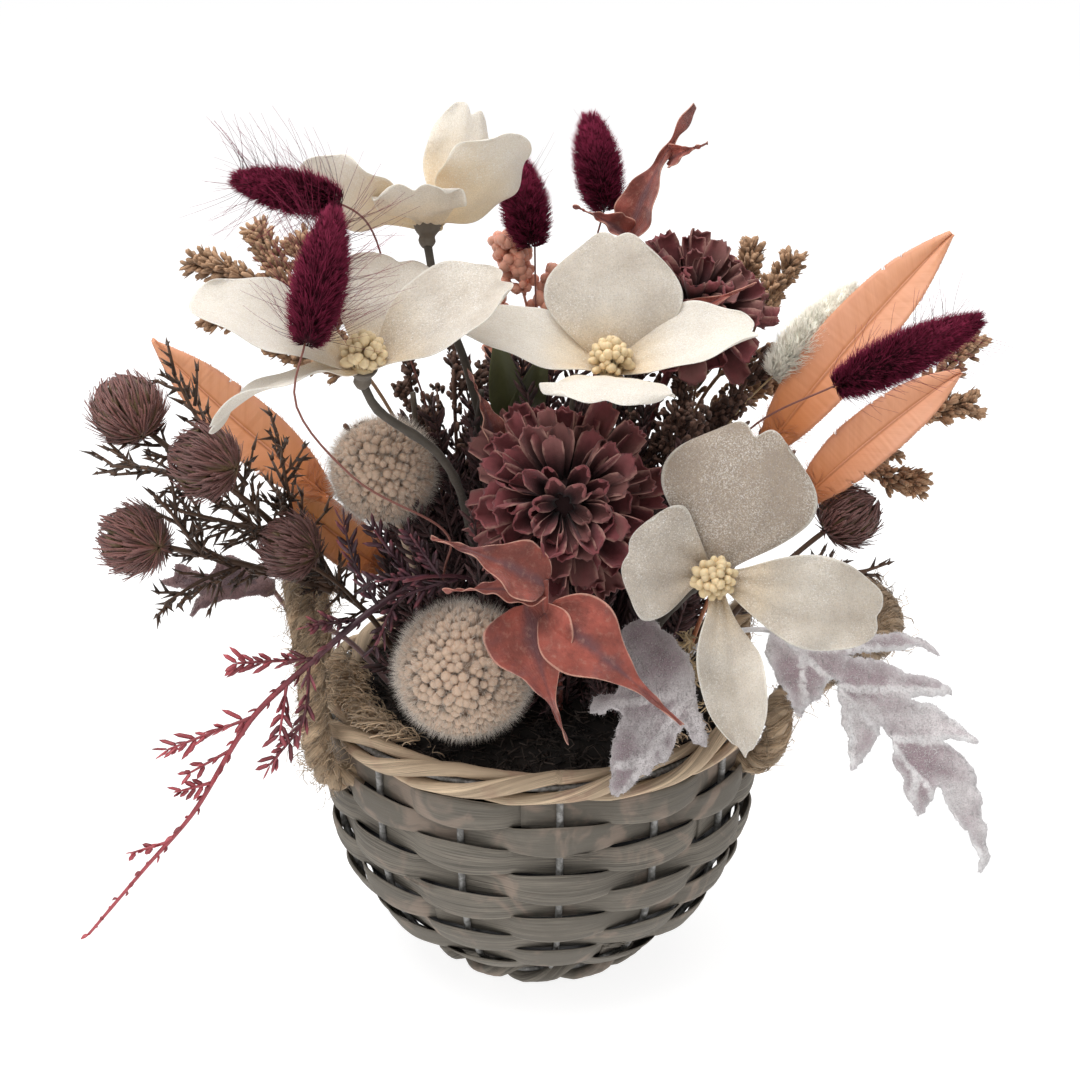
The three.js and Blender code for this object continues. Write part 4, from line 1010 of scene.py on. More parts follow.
def fray(pile, row, rng):
    """Splinters that stand off the upper edge of a row where it has cracked."""
    angles = {1: 0.35, 4: -0.62, 6: 0.12}[row] + rng.uniform(-0.03, 0.03, 9)
    z = FIRST_ROW + row * ROW_PITCH + 4.9 + rng.uniform(-1.2, 0.6, 9)
    length = rng.uniform(0.06, 0.15, 9)
    share = even(5)[None]
    turn = angles[:, None] + length[:, None] * share
    path = around(turn, wall_radius(z)[:, None] + 3.3 + 0.9 * share * rng.random((9, 1)),
                  z[:, None] + 0.8 * share * rng.normal(size=(9, 1)))
    threads(pile, path, rng.uniform(0.25, 0.5, 9), 4, 0.3, tint=1.0, seed=row)


def twisted_rod(pile, radius, z, twist, thickness, places, laps, first_turn, mark):
    """A rod that twists round a hoop, one of its places further at each upright."""
    per_bay = 20
    count = UPRIGHTS * laps * per_bay
    bays = np.arange(count) / per_bay
    turn = first_turn + TAU * bays / places
    kink = turn + 0.22 * np.sin(2 * turn)
    dip = 0.12 * np.sin(kink) + 0.88 * np.arcsin(np.sin(kink)) * 2 / np.pi
    angle = UPRIGHT_TURN + TAU * bays / UPRIGHTS
    rng = default_rng(int(mark * 10) + 3)
    knots = np.arange(UPRIGHTS * laps + 1)
    waver = np.interp(bays, knots, np.append(rng.normal(size=len(knots) - 1), 0)) * 0.22
    path = around(angle, radius + (twist + waver) * np.cos(kink), z + (twist + waver) * dip)
    away = unit(around(angle, np.cos(kink), np.sin(kink)))
    ways = unit(np.roll(path, -1, 0) - np.roll(path, 1, 0))
    away = unit(away - dot(away, ways) * ways)
    beside = np.cross(ways, away)
    section = thickness * circle(1, 10) * (0.78, 1.12)
    girth = 1 + np.interp(bays, knots, np.append(rng.uniform(-0.07, 0.07, len(knots) - 1), 0))
    sweep(pile, path, section, girth, (away, beside), True, mark, mark)


@operator("Rim and foot", "basket_look")
def make_borders(look):
    """The plaited rim of three rods and foot of two."""
    finish = split_willow("rim_willow", look.rim_colour, stain=tone(0x9a6a5c), rough=0.7)
    weathered = split_willow("foot_willow", look.splint_colour)
    rod = look.rod_radius / MM
    pile = Pile()
    twisted_rod(pile, WALL_RADIUS, WALL_TOP, RIM_TWIST, rod, 3, 3, math.pi / 2, 0.5)
    settle(pile.build("rim_rods"), finish, "willow", "rim_border")
    for i in range(2):
        pile = Pile()
        twisted_rod(pile, float(wall_radius(FOOT_HEIGHT)), FOOT_HEIGHT, 0.82 * FOOT_TWIST, rod, 2, 1,
                    math.pi * i, 0.2 + 0.6 * i)
        settle(pile.build(f"foot_rod_{i + 1}"), weathered, "willow", f"foot_border_{i + 1}")


def handle_path(middle, reach, crown):
    """Points of a handle's middle line, from inside the wall over its crown and back."""
    centre = math.radians(middle)
    outside = WALL_RADIUS + RIM_TWIST + ROD + ROPE + ROPE_GAP

    def leg(sign):
        angle = centre + sign * HANDLE_SPREAD
        lifted = centre + sign * 0.86 * HANDLE_SPREAD
        return [around(angle, WALL_RADIUS - 9, HANDLE_HOLE - 1), around(angle, WALL_RADIUS - 2, HANDLE_HOLE),
                around(angle, WALL_RADIUS + 8, HANDLE_HOLE + 1), around(angle, outside, WALL_TOP - 4),
                around(angle, outside + 1, WALL_TOP + 10),
                around(lifted, outside + 0.35 * reach, 0.45 * (WALL_TOP + 10) + 0.55 * crown)]

    top = [around(centre + share * HANDLE_SPREAD, outside + 0.92 * reach, crown) for share in (-0.4, 0.4)]
    return np.array(leg(-1) + top + leg(1)[::-1])


@operator("Rope handles", "basket_look")
def make_ropes(look):
    """Two handles of three laid strands, with knots inside the wall and loose fibres all over."""
    finish = fibre_finish("jute_rope", look.rope_colour)
    size = look.rope_radius / MM
    for side, (middle, reach, crown) in HANDLES.items():
        rng = default_rng(7 if side == "left" else 8)
        path = smooth_path(handle_path(middle, reach, crown), 230)
        one, two = carry(path)
        length = runs(path)
        pile = Pile()

        for strand in range(3):
            turn = TAU * length / ROPE_LAY + TAU * strand / 3
            line = path + 0.5 * size * (one * np.cos(turn)[:, None] + two * np.sin(turn)[:, None])
            lumps = 1 + 0.06 * np.sin(length * 0.9 + strand) + 0.05 * rng.normal(size=len(line))
            section = 0.53 * size * ring(turns(10) + (5.0 * length / ROPE_LAY)[:, None])
            sweep(pile, line, section, lumps, tint=0.3 + 0.2 * strand, mark=strand * 0.7)
        for end in (path[0], path[-1]):
            coil = np.linspace(0, TAU * 2.2, 44)
            axis = unit(end * (1, 1, 0))
            a = unit(np.cross(axis, (0, 0, 1)))
            knot = end + 3.4 * (np.cos(coil)[:, None] * a + np.sin(coil)[:, None] * vec(0, 0, 1))
            knot = knot + axis * (coil[:, None] * 0.4 - 2.5)
            sweep(pile, knot, circle(2.7, 8))
        hairs, curls = 1900, 700 if side == "left" else 300
        begin = rng.integers(2, len(path) - 30, hairs)
        span = rng.integers(6, 22, hairs)
        steps = even(5)
        index = np.minimum(begin[:, None] + (span[:, None] * steps[None]).astype(int), len(path) - 1)
        turn = rng.uniform(0, TAU, hairs)[:, None] + TAU * length[index] / ROPE_LAY
        turn = turn + rng.normal(size=(hairs, 5)) * 0.15
        stand_off = size * (0.98 + 0.08 * rng.normal(size=(hairs, 5)))
        loose = rng.random(hairs) < (0.4 if side == "left" else 0.25)
        stand_off[:, 3:] += np.where(loose, rng.uniform(0.5, 4.2, hairs), 0.2)[:, None] * vec(0.35, 1)
        lines = path[index] + stand_off[..., None] * (one[index] * np.cos(turn)[..., None]
                                                      + two[index] * np.sin(turn)[..., None])
        lines[..., 2] = np.maximum(lines[..., 2], 80)
        threads(pile, lines, rng.uniform(0.1, 0.24, hairs), 3, 0.4, seed=5)
        index = rng.integers(16, len(path) - 16, curls)
        turn = rng.uniform(0, TAU, curls)
        foot = path[index] + size * (one[index] * np.cos(turn)[:, None] + two[index] * np.sin(turn)[:, None])
        walk = np.cumsum(rng.normal(size=(curls, 7, 3)) * 1.5, axis=1)
        away = unit(foot - path[index])
        lines = foot[:, None] + walk - walk[:, :1]
        depth = np.sum((lines - path[index][:, None]) * away[:, None], -1, keepdims=True)
        lines = lines + away[:, None] * np.maximum(0, 0.95 * size - depth)
        lines[..., 2] = np.maximum(lines[..., 2], 84)
        threads(pile, lines, rng.uniform(0.14, 0.26, curls), 3, 0.5, tint=rng.random(curls), seed=6)
        settle(pile.build(f"rope_{side}"), finish, "jute", f"rope_handle_{side}")


def moss_height(radius, angle):
    """How high the humped moss stands."""
    hump = (3.0 * np.sin(5 * angle) + 2.4 * np.sin(11 * angle + radius * 0.2)
            + 2.0 * np.sin(0.35 * radius + angle))
    return np.interp(radius, [0, 52, 62, 72, 77], [121.5, 121, 117, 109, 105]) + 0.35 * hump


@operator("Moss", "basket_look")
def make_moss(look):
    """A rough mat of moss over the foam up to the rim, with tangled strands on it, and a few pale ones
    near the ropes."""
    rng = default_rng(31)
    pile = Pile()
    sides, rings = 96, 26
    reach = np.linspace(76.5, 3, rings)
    turn = turns(sides)
    top = around(turn[None], reach[:, None] + rng.normal(size=(rings, sides)) * 0.5,
                 moss_height(reach[:, None], turn[None]) + rng.normal(size=(rings, sides)) * 0.7)
    under = around(turn[None], np.array([[3.0], [40.0], [57.5], [59.5], [76.0]]),
                   np.array([[120.6], [120.6], [120.4], [103.4], [103.4]]) + 0 * turn[None])
    pile.add(np.concatenate([top, under]), [net(rings + 5, sides, loop=True)], 0.1, 0.2)
    count = 2800
    angle = rng.uniform(0, TAU, count)
    radius = 77 * np.sqrt(rng.uniform(0.1, 1, count))
    front = rng.random(count) < 0.3
    radius = np.where(front, rng.uniform(60, 77, count), radius)
    start = around(angle, radius, moss_height(radius, angle) + 0.2)
    walk = np.cumsum(rng.normal(size=(count, 6, 3)) * (2.3, 2.3, 1.2), axis=1)
    lines = start[:, None] + walk - walk[:, :1] + even(6)[None, :, None] ** 1.5 * vec(0, 0, 1.6)
    flat = np.linalg.norm(lines[..., :2], axis=-1)
    pull = np.minimum(1, 77.5 / np.maximum(flat, 1))
    lines[..., :2] *= pull[..., None]
    lines[..., 2] += 0.8 * rng.random((count, 1))
    threads(pile, lines, rng.uniform(0.24, 0.56, count), 3, 0.35, tint=2.2 * rng.random(count) ** 2, seed=3)
    settle(pile.build("moss_mat"), fibre_finish("dark_moss", look.moss_colour, 0.3, 3.4, sheen=0.0), "moss",
           "moss")
    pile = Pile()
    for middle, spread, amount in ((-60, 18, 380), (-84, 10, 160), (88, 14, 160), (38, 10, 50)):
        angle = np.radians(middle + spread * rng.normal(size=amount) * 0.6)
        radius = rng.uniform(70, 84, amount)
        start = around(angle, radius, 112 + 0 * angle)
        start[:, 2] = np.where(radius > 78, 118.5, 113) + rng.uniform(-1, 3, amount)
        spin = rng.uniform(0, TAU, amount)[:, None]
        spin = spin + np.linspace(0, 4.2, 8)[None] * rng.choice([-1, 1], (amount, 1))
        size = rng.uniform(1.5, 5, (amount, 1))
        lines = start[:, None] + np.stack([size * np.cos(spin), size * np.sin(spin) * 0.8,
                                           2.2 * np.abs(np.sin(spin)) + np.linspace(0, 2.5, 8)[None]], -1)
        threads(pile, lines, rng.uniform(0.2, 0.42, amount), 3, 0.5, seed=9)
    settle(pile.build("loose_jute"), fibre_finish("loose_jute", look.rope_colour, 0.6, 1.6), "jute")


# Flowers

PETAL = [0.17, 0.34, 0.56, 0.77, 0.92, 1.0, 1.0, 0.93, 0.8, 0.62]
LANCE = [0.2, 0.3, 0.5, 0.78, 0.98, 1.0, 0.95, 0.86, 0.66, 0.36]
ROUND = [0.17, 0.37, 0.61, 0.82, 0.96, 1.0, 0.97, 0.87, 0.7, 0.44]
# Each petal holds its tip, width, arch, cup and more settings. Its shade is painted shade, set high on the
# petals that lie in shadow.
WHITE_FLOWERS = [
    dict(centre=(-41, -5, 300), faces=(0, 0.62, 0.78), spread=0.5, all=dict(crease=0.4, shade=0.0),
         stem=[(-12, 4, 122), (-17, 2, 190), (-27, 0, 243), (-38, -13, 280)],
         petals=[
             ((-86, -12, 323), 38, -4, 3, dict(facing=(0.25, 0.75, 0.6), ruffle=2.2)),
             ((-6, -10, 334), 34, -3, 4, dict(facing=(-0.3, 0.8, 0.5), roll=2, ruffle=1.8)),
             ((-24, 22, 340), 26, -3, 3, dict(facing=(-0.2, 0.75, 0.1), notch=5)),
             ((-44, -30, 322), 34, -3, 3, dict(notch=4, ruffle=2.2, shade=0.25)),
         ]),
    dict(centre=(-61, -60, 263), faces=(0.1, -0.35, 0.95),
         stem=[(-22, -20, 122), (-26, -28, 190), (-36, -50, 228), (-57, -56, 247)],
         petals=[
             ((-118, -66, 287), 37, 5, 4, dict(roll=1)),
             ((-50, -18, 293), 38, 3, 5, dict(notch=3, shade=0.35)),
             ((-10, -48, 291), 39, 4, 4, dict(roll=-2, notch=4, shade=0.4)),
             ((-110, -96, 253), 25, 7, 1, dict(roll=2.5, ruffle=1.8, notch=3, facing=(0.1, 0.42, 0.9),
              outline=LANCE)),
         ]),
    dict(centre=(25, -38, 255), faces=(0, -0.4, 0.92),
         stem=[(8, -4, 122), (12, -5, 180), (24, -18, 222), (26, -33, 243)],
         petals=[
             ((27, -20, 302), 50, 5, -3, dict(notch=3, facing=(0, -1, 0.2), shade=0.4, round=0.16,
              outline=ROUND)),
             ((-29, -34, 271), 28, 2, 5, dict(roll=2)),
             ((77, -40, 270), 31, 4, 5, dict(roll=-2, notch=3)),
             ((22, -80, 257), 47, 4, -3, dict(notch=3, ruffle=1.4)),
         ]),
    dict(centre=(61, -74, 191), faces=(-0.05, -0.9, 0.3), all=dict(crease=0.55),
         stem=[(38, -30, 122), (42, -36, 150), (52, -50, 172)],
         petals=[
             ((76, -62, 244), 56, 4, -4, dict(notch=6, shade=0.95, round=0.15, outline=ROUND)),
             ((29, -82, 204), 42, 2, 3, dict(notch=2, shade=0.55, crease=0.9)),
             ((119, -84, 180), 33, 5, 3, dict(notch=2, shade=0.45, ruffle=1.6)),
             ((71, -104, 138), 23, 7, 5, dict(roll=6, ruffle=3.0, notch=-4, outline=LANCE, shade=0.42)),
         ]),
]


def golden_points(count, cap=-1.0):
    """Evenly spread directions on a ball, from the top down to this height."""
    k = np.arange(count)
    z = 1 - (1 - cap) * (k + 0.5) / count
    turn = k * math.pi * (3 - math.sqrt(5))
    flat = np.sqrt(1 - z * z)
    return np.stack([flat * np.cos(turn), flat * np.sin(turn), z], -1)


def turned(points, axis):
    """Points turned so that their z runs along the axis."""
    z = unit(axis)
    x = unit(np.cross((0.3, 0.1, 1.0) if abs(z[2]) < 0.9 else (1, 0, 0), z))
    return points[..., :1] * x + points[..., 1:2] * np.cross(z, x) + points[..., 2:] * z


@operator("White flowers")
def make_white_flowers(look):
    """Four blooms of four broad velvet petals, with bead stamens, a cup under them and a knotted stem."""
    velvet = velvet_petal(look.petal_colour, look.petal_heart_colour, look.petal_shadow_colour)
    beads = soft_finish("stamen_beads", look.stamen_colour, 0.8, 1.2, 0.5, lit(look.stamen_colour, 1.3),
                        900, 0.5, 0.08, glow=0.25)
    bark = soft_finish("dark_bark", look.bark_colour, 0.55, 1.5, 0.0, None, 160, 0.8, 0.6)
    for n, flower in enumerate(WHITE_FLOWERS, 1):
        rng = default_rng(60 + n)
        centre, up = vec(*flower["centre"]), unit(vec(*flower["faces"]))
        pile = Pile()
        for k, (tip, width, arch, cup, more) in enumerate(flower["petals"]):
            way = vec(*tip) - centre
            flat = unit(way - dot(way, up) * up)
            form = {"ruffle": 0.9, "crease": 0.22, "outline": PETAL, "facing": tuple(up), "shade": 0.1,
                    **flower.get("all", {}), **more}
            shade, rounding = form.pop("shade"), form.pop("round", 0.2) * width
            place = leaf_place(centre + 3.0 * flat, tip, width=width, arch=arch, cup=cup, rounding=rounding,
                               ruffles=1.6 + rng.random(), phase=TAU * rng.random(),
                               curl=rng.uniform(4, 10) * (-1 if k % 2 else 1), **form)
            # The petal's painted shade goes in as its tint.
            petal_sheet(pile, place, 24, 16, shade, flower.get("spread", 1.0))
        bloom = pile.build(f"white_bloom_{n}")
        thicken(bloom, 0.55, 1)
        settle(bloom, velvet, "cream_petal", f"white_flower_{n}")
        pile = Pile()
        spots = golden_points(34, 0.1)
        spots = unit(spots + rng.normal(size=spots.shape) * 0.08)
        heads = turned(spots * (6.0, 6.0, 8.2), up) + centre + 3.6 * up
        ways = unit(turned(unit(spots * (1, 1, 1.6)), up) + rng.normal(size=heads.shape) * 0.16)
        size = rng.uniform(0.75, 1.15, len(heads))[:, None]
        BEAD.copies(pile, centre - 1.5 * up, centre + 2.5 * up, any_side(up[None], rng), 9.0, tint=0.3)
        BEAD.copies(pile, heads - 2.5 * ways * size, heads + 2.9 * ways * size, any_side(ways, rng),
                    3.7 * size[:, 0], rng=rng)
        roots = np.broadcast_to(centre + 0.5 * up, heads.shape) + turned(spots * (2.5, 2.5, 0), up)
        threads(pile, np.stack([roots, 0.5 * (roots + heads) - 0.3 * up, heads - 2 * ways], 1), 0.45, 4, 0.7,
                tint=0.4)
        settle(pile.build(f"stamen_cluster_{n}"), beads, "stamen", f"white_flower_stamens_{n}")
        pile = Pile()
        path = [(*flower["stem"][0][:2], 106), *flower["stem"], tuple(centre - 6 * up)]
        cane(pile, path, 1.75, 44, 8, 0.9, 0.22, 0.3)
        neck = smooth_path([centre - 8 * up, centre - 5 * up, centre - 2 * up, centre + 0.6 * up], 12)
        sweep(pile, neck, circle(1, 12), wave([2.0, 3.2, 2.9, 4.3, 5.4], even(12)), tint=0.9)
        settle(pile.build(f"white_stem_{n}"), bark, "bark", f"white_flower_stem_{n}")


@operator("Chrysanthemums")
def make_chrysanthemums(look):
    """Two dense blooms of toothed, cupped petals in rings over a domed core."""
    # Painted shade: the petals darken towards their roots and the core, where they lie in shadow.
    finish = soft_finish("mauve_cloth", look.chrysanthemum_colour, 0.38, 1.35, 0.6,
                         lit(look.chrysanthemum_colour, 1.7), 420, 0.85, 0.3, 0.1,
                         edge_colour=look.chrysanthemum_edge_colour, root_reach=1.0,
                         blotch=lit(look.chrysanthemum_edge_colour, 0.42),
                         foot_tone_and_shade=lit(look.chrysanthemum_colour, 0.16))
    forms = [blade_shape([0.32, 0.58, 0.86, 1.0, 0.94, 0.62], (0, 0.06, 0.0, lift), cup=c, thickness=0.03,
                         across=6, teeth=0.045, tip=0.07, fold=f, crowd=1.6)
             for c, f, lift in ((0.35, 0.05, -0.1), (0.6, 0, 0.16), (0.12, 0.1, -0.22), (0.5, 0.12, 0.05))]
    hooded = blade_shape([0.36, 0.6, 0.9, 1.0, 0.9, 0.55], (0, -0.04, -0.06, 0.3), cup=0.5, thickness=0.02,
                         across=6, teeth=0.05, tip=0.08, crowd=1.5)
    blooms = {
        "front": ((8, -54, 212), (0.02, -0.95, 0.32), 37.5,
                  [(21, 6), (29, 8), (38, 11), (48, 13), (59, 15), (70, 17), (81, 18), (93, 18), (104, 15)],
                  [(2, -20, 108), (3, -18, 150), (5, -24, 190), (8, -40, 208)]),
        "back": ((58, 26, 258), (0.15, -0.45, 0.88), 33.5,
                 [(20, 6), (29, 8), (39, 11), (51, 13), (65, 15), (79, 16), (93, 16)],
                 [(28, 12, 108), (34, 14, 180), (44, 20, 220), (55, 25, 248)]),
    }
    for name, (centre, faces, radius, rings, stem) in blooms.items():
        rng = default_rng(len(name))
        centre, axis = vec(*centre), unit(vec(*faces))
        pile = Pile()
        for lean, count in rings:
            turn = TAU * (np.arange(count) + rng.uniform(-0.4, 0.4, count)) / count + lean
            tilt = np.radians(lean + rng.normal(size=count) * 6.5)

            def direction(angle):
                return turned(on_ball(angle, turn), axis)

            reach = radius * (1 - 0.0014 * (97 - lean)) * rng.uniform(0.8, 1.08, (count, 1))
            roots = centre + direction(0.8 * tilt) * radius * 0.3
            tips = centre + direction(tilt) * reach
            facing = direction(tilt - 1.4) + rng.normal(size=(count, 3)) * 0.38
            width = rng.uniform(8.4, 11.6, count) * (0.6 + 0.4 * min(1, lean / 60))
            kinds = rng.integers(0, len(forms), count)
            if lean < 30:
                tips = tips + (roots - tips) * rng.uniform(0.08, 0.3, (count, 1))
                hooded.copies(pile, roots, tips, facing, width * 0.9, droop=-0.2 * facing, rng=rng)
                continue
            for kind, form in enumerate(forms):
                chosen = kinds == kind
                if chosen.any():
                    form.copies(pile, roots[chosen], tips[chosen], facing[chosen], width[chosen],
                                droop=facing[chosen] * rng.uniform(-0.1, 0.14, (chosen.sum(), 1)), rng=rng)
        BEAD.copies(pile, centre + axis * radius * 0.36, centre - axis * radius * 0.42, (0, 0, 1),
                    radius * 0.74, tint=0.0)
        sepals = turned(golden_points(14, -1) * (1, 1, 0), axis)
        blade = blade_shape([0.5, 1, 0.8, 0.1], (0, 0.1), 0.2, 0.08)
        blade.copies(pile, centre - axis * 8 + unit(sepals) * 2,
                     centre - axis * 3 + unit(sepals) * radius * 0.62, axis, 8, rng=rng)
        cane(pile, [*stem, tuple(centre - 7 * axis)], 1.5, 30, 8, 1, 0.1, 0.1)
        settle(pile.build(f"chrysanthemum_bloom_{name}"), finish, "mauve_petal", f"chrysanthemum_{name}")


GLOBES = {"upper": ((-58, -28, 214), 19, [(-38, -12, 108), (-46, -16, 160), (-55, -25, 198)]),
          "lower": ((-28, -58, 147), 24.5, [(-22, -36, 108), (-23, -40, 128), (-26, -50, 134)])}


@operator("Globe heads")
def make_globes(look):
    """Two balls of packed pips under a dense fringe of fine pale hairs."""
    pips = soft_finish("globe_pips", look.globe_colour, 0.75, 1.2, 0.7, lit(look.globe_colour, 1.2),
                       700, 0.6, 0.12, 0.1, glow=0.2)
    down = soft_finish("globe_down", look.down_colour, 0.75, 1.15, 0.4, look.down_colour, 300, 0.8, 0.05, 0.1)
    for name, (centre, radius, stem) in GLOBES.items():
        rng = default_rng(int(radius))
        centre = vec(*centre)
        pile = Pile()
        pip = 3.7 if name == "upper" else 4.2
        ways = golden_points(int(20.5 * (radius / pip) ** 2))
        ways = unit(ways + rng.normal(size=ways.shape) * 0.03)
        size = rng.uniform(0.76, 1.16, len(ways))
        roots = centre + ways * (radius - 3.4)
        PIP.copies(pile, roots, centre + ways * (radius + 0.3 * size[:, None]), any_side(ways, rng),
                   pip * size, rng=rng)
        BEAD.copies(pile, centre - vec(0, 0, radius - 1.6), centre + vec(0, 0, radius - 1.6), (0, 1, 0),
                    2 * radius - 3.2, tint=0.45)
        cane(pile, stem, 1.4, 20, 8, tint=0.0)
        settle(pile.build(f"globe_{name}"), pips, "globe", f"globe_head_{name}")
        count = int(22 * radius ** 2)
        ways = unit(rng.normal(size=(count, 3)))
        lean = unit(ways + rng.normal(size=ways.shape) * 0.34)
        side = np.abs(dot(ways, unit(vec(0, -0.93, 0.37))))[:, 0]
        reach = look.fuzz_length / MM * rng.uniform(0.4, 1.25, (count, 1)) * (1 - 0.25 * side[:, None] ** 2)
        roots = centre + ways * (radius - 1.4)
        pile = Pile()
        NEEDLE.copies(pile, roots, roots + lean * (1.2 + reach), any_side(lean, rng),
                      rng.uniform(0.15, 0.27, count), rng=rng)
        settle(pile.build(f"globe_{name}_down"), down, "globe")


PLUMES = {
    "left": ((-68, -40, 316.5), (-106, -50, 327), 8.8, 150, 21,
             [(-28, 2, 108), (-34, 6, 190), (-54, 8, 262), (-60, -10, 298), (-66, -34, 313),
              (-72, -40, 317)]),
    "arched": ((-77, -84, 278), (-68, -60, 320), 10.6, 220, 23,
               [(-32, -24, 108), (-36, -36, 172), (-33, -72, 207), (-62, -100, 238), (-80, -96, 262),
                (-77, -83, 281)]),
    "centre": ((-3, 22, 286), (-9, 24, 322), 10.6, 40, 13, [(-2, 14, 108), (-1, 16, 200), (-2, 22, 289)]),
    "back": ((25, 30, 298), (18, 34, 336), 10.4, 20, 9,
             [(12, 20, 108), (12, 26, 200), (18, 32, 270), (25, 30, 301)]),
    "right": ((105, -40, 250), (155, -50, 279), 9.8, 150, 16,
              [(44, -6, 108), (54, -14, 180), (76, -34, 232), (108, -40, 252)]),
    "white": ((89, 10, 238), (123, 22, 272), 11, 30, 8,
              [(46, 10, 108), (60, 12, 190), (76, 14, 222), (92, 21, 237)]),
}


@operator("Plumes")
def make_plumes(look):
    """Six soft plumes: a core, a dense coat of short hairs that lean to the tip, and long thin awns."""
    # Painted light and shade: the hair tips are made paler where light comes through, and the roots and core
    # darker where they lie in shadow.
    dyed = soft_finish("burgundy_down", look.plume_colour, 0.4, 1.3, 0.85, lit(look.plume_colour, 2.5), 260,
                       0.75, 0.05, 0.0, foot_tone_and_shade=lit(look.plume_colour, 0.4), Specular_IOR_Level=0.2)
    bleached = soft_finish("bleached_down", look.bleached_colour, 0.95, 1.1, 0.3, look.bleached_colour,
                           260, 0.8, 0.05, 0.1)
    stalks = (("brown_stalk", look.stalk_colour), ("pale_stalk", look.straw_colour))
    brown, pale = (soft_finish(name, colour, 0.7, 1.3, 0.2, colour, 90, 0.6, 0.1, 0.05)
                   for name, colour in stalks)
    for name, (root, tip, radius, awns, awn_length, stem) in PLUMES.items():
        rng = default_rng(len(name) * 3 + int(radius * 10))
        root, tip = vec(*root), vec(*tip)
        axis = unit(tip - root)
        length = far(root, tip)
        pile = Pile()
        BEAD.copies(pile, root + axis, tip - 3 * axis, (0, 1, 0.1), radius * 1.35,
                    tint=1.0 if name == "white" else 0.0)
        count = int(14 * length * radius)
        u = np.clip(rng.beta(1.05, 1.0, count), 0.01, 0.99)
        body = radius * 0.76 * np.sin(np.pi * np.clip(0.035 + 0.945 * u, 0, 1)) ** 0.62 * (1.05 - 0.25 * u)
        turn = rng.uniform(0, TAU, count)
        out = turned(on_ball(np.pi / 2, turn), axis)
        roots = root + axis * (u * (length - 4))[:, None] + out * body[:, None] * 0.85
        clump = 0.25 * np.sin(5 * turn + 40 * u)[:, None] * np.cross(axis, out)
        way = unit(out * (1.1 - 0.75 * u[:, None] ** 3) + axis * (0.15 + 0.9 * u[:, None]) + clump
                   + rng.normal(size=out.shape) * 0.2)
        hair = rng.uniform(0.6, 1.1, (count, 1)) * (radius * 0.3 + 2.2) * (1 - 0.25 * u[:, None] ** 2)
        HAIR.copies(pile, roots, roots + way * hair, out, rng.uniform(0.27, 0.45, count),
                    droop=axis * rng.uniform(0.05, 0.3, (count, 1)), rng=rng)
        turn = rng.uniform(0, TAU, awns)
        u = rng.uniform(0.02, 0.9, awns)
        out = turned(on_ball(np.pi / 2, turn), axis)
        start = root + axis * (u * length)[:, None] + out * radius * 0.4
        way = unit(out * 1.0 + axis * rng.uniform(0.05, 0.9, (awns, 1)))
        reach = awn_length * rng.uniform(0.55, 1.1, (awns, 1))
        steps = even(5)[None, :, None]
        bend = rng.normal(size=(awns, 1, 3)) * 0.1 + axis * 0.22
        lines = start[:, None] + way[:, None] * (reach[:, None] * steps) + bend * reach[:, None] * steps ** 2
        threads(pile, lines, 0.1, 3, 0.45, tint=0.9, seed=2)
        finish, slot = (bleached, "white_plume") if name == "white" else (dyed, "burgundy_plume")
        settle(pile.build(f"plume_{name}_down"), finish, slot, f"plume_{name}")
        pile = Pile()
        cane(pile, stem, 0.5, 46, 6, 0.75, 0.0, 0.75)
        settle(pile.build(f"plume_{name}_stalk"), pale if name == "white" else brown, slot)


FEATHERS = {
    "left": ((-80, -8, 195), (-146, 0, 256), (0.5, -0.8, 0.4), 23, -5, [(-44, 4, 108), (-58, 4, 165)]),
    "left_low": ((-62, 6, 160), (-98, -4, 196), (0.4, -0.8, 0.4), 20, -3, [(-46, 16, 108), (-52, 14, 140)]),
    "right_back": ((86, 2, 210), (154, 12, 294), (-0.5, -0.8, 0.3), 26, 6, [(50, 18, 108), (60, 14, 170)]),
    "right_front": ((99, -10, 194), (158, -4, 245), (-0.4, -0.8, 0.5), 22, 5, [(54, -2, 108), (70, -6, 160)]),
}
VANE = [0.25, 0.55, 0.78, 0.92, 1, 1, 0.97, 0.9, 0.8, 0.62, 0.36, 0.05]


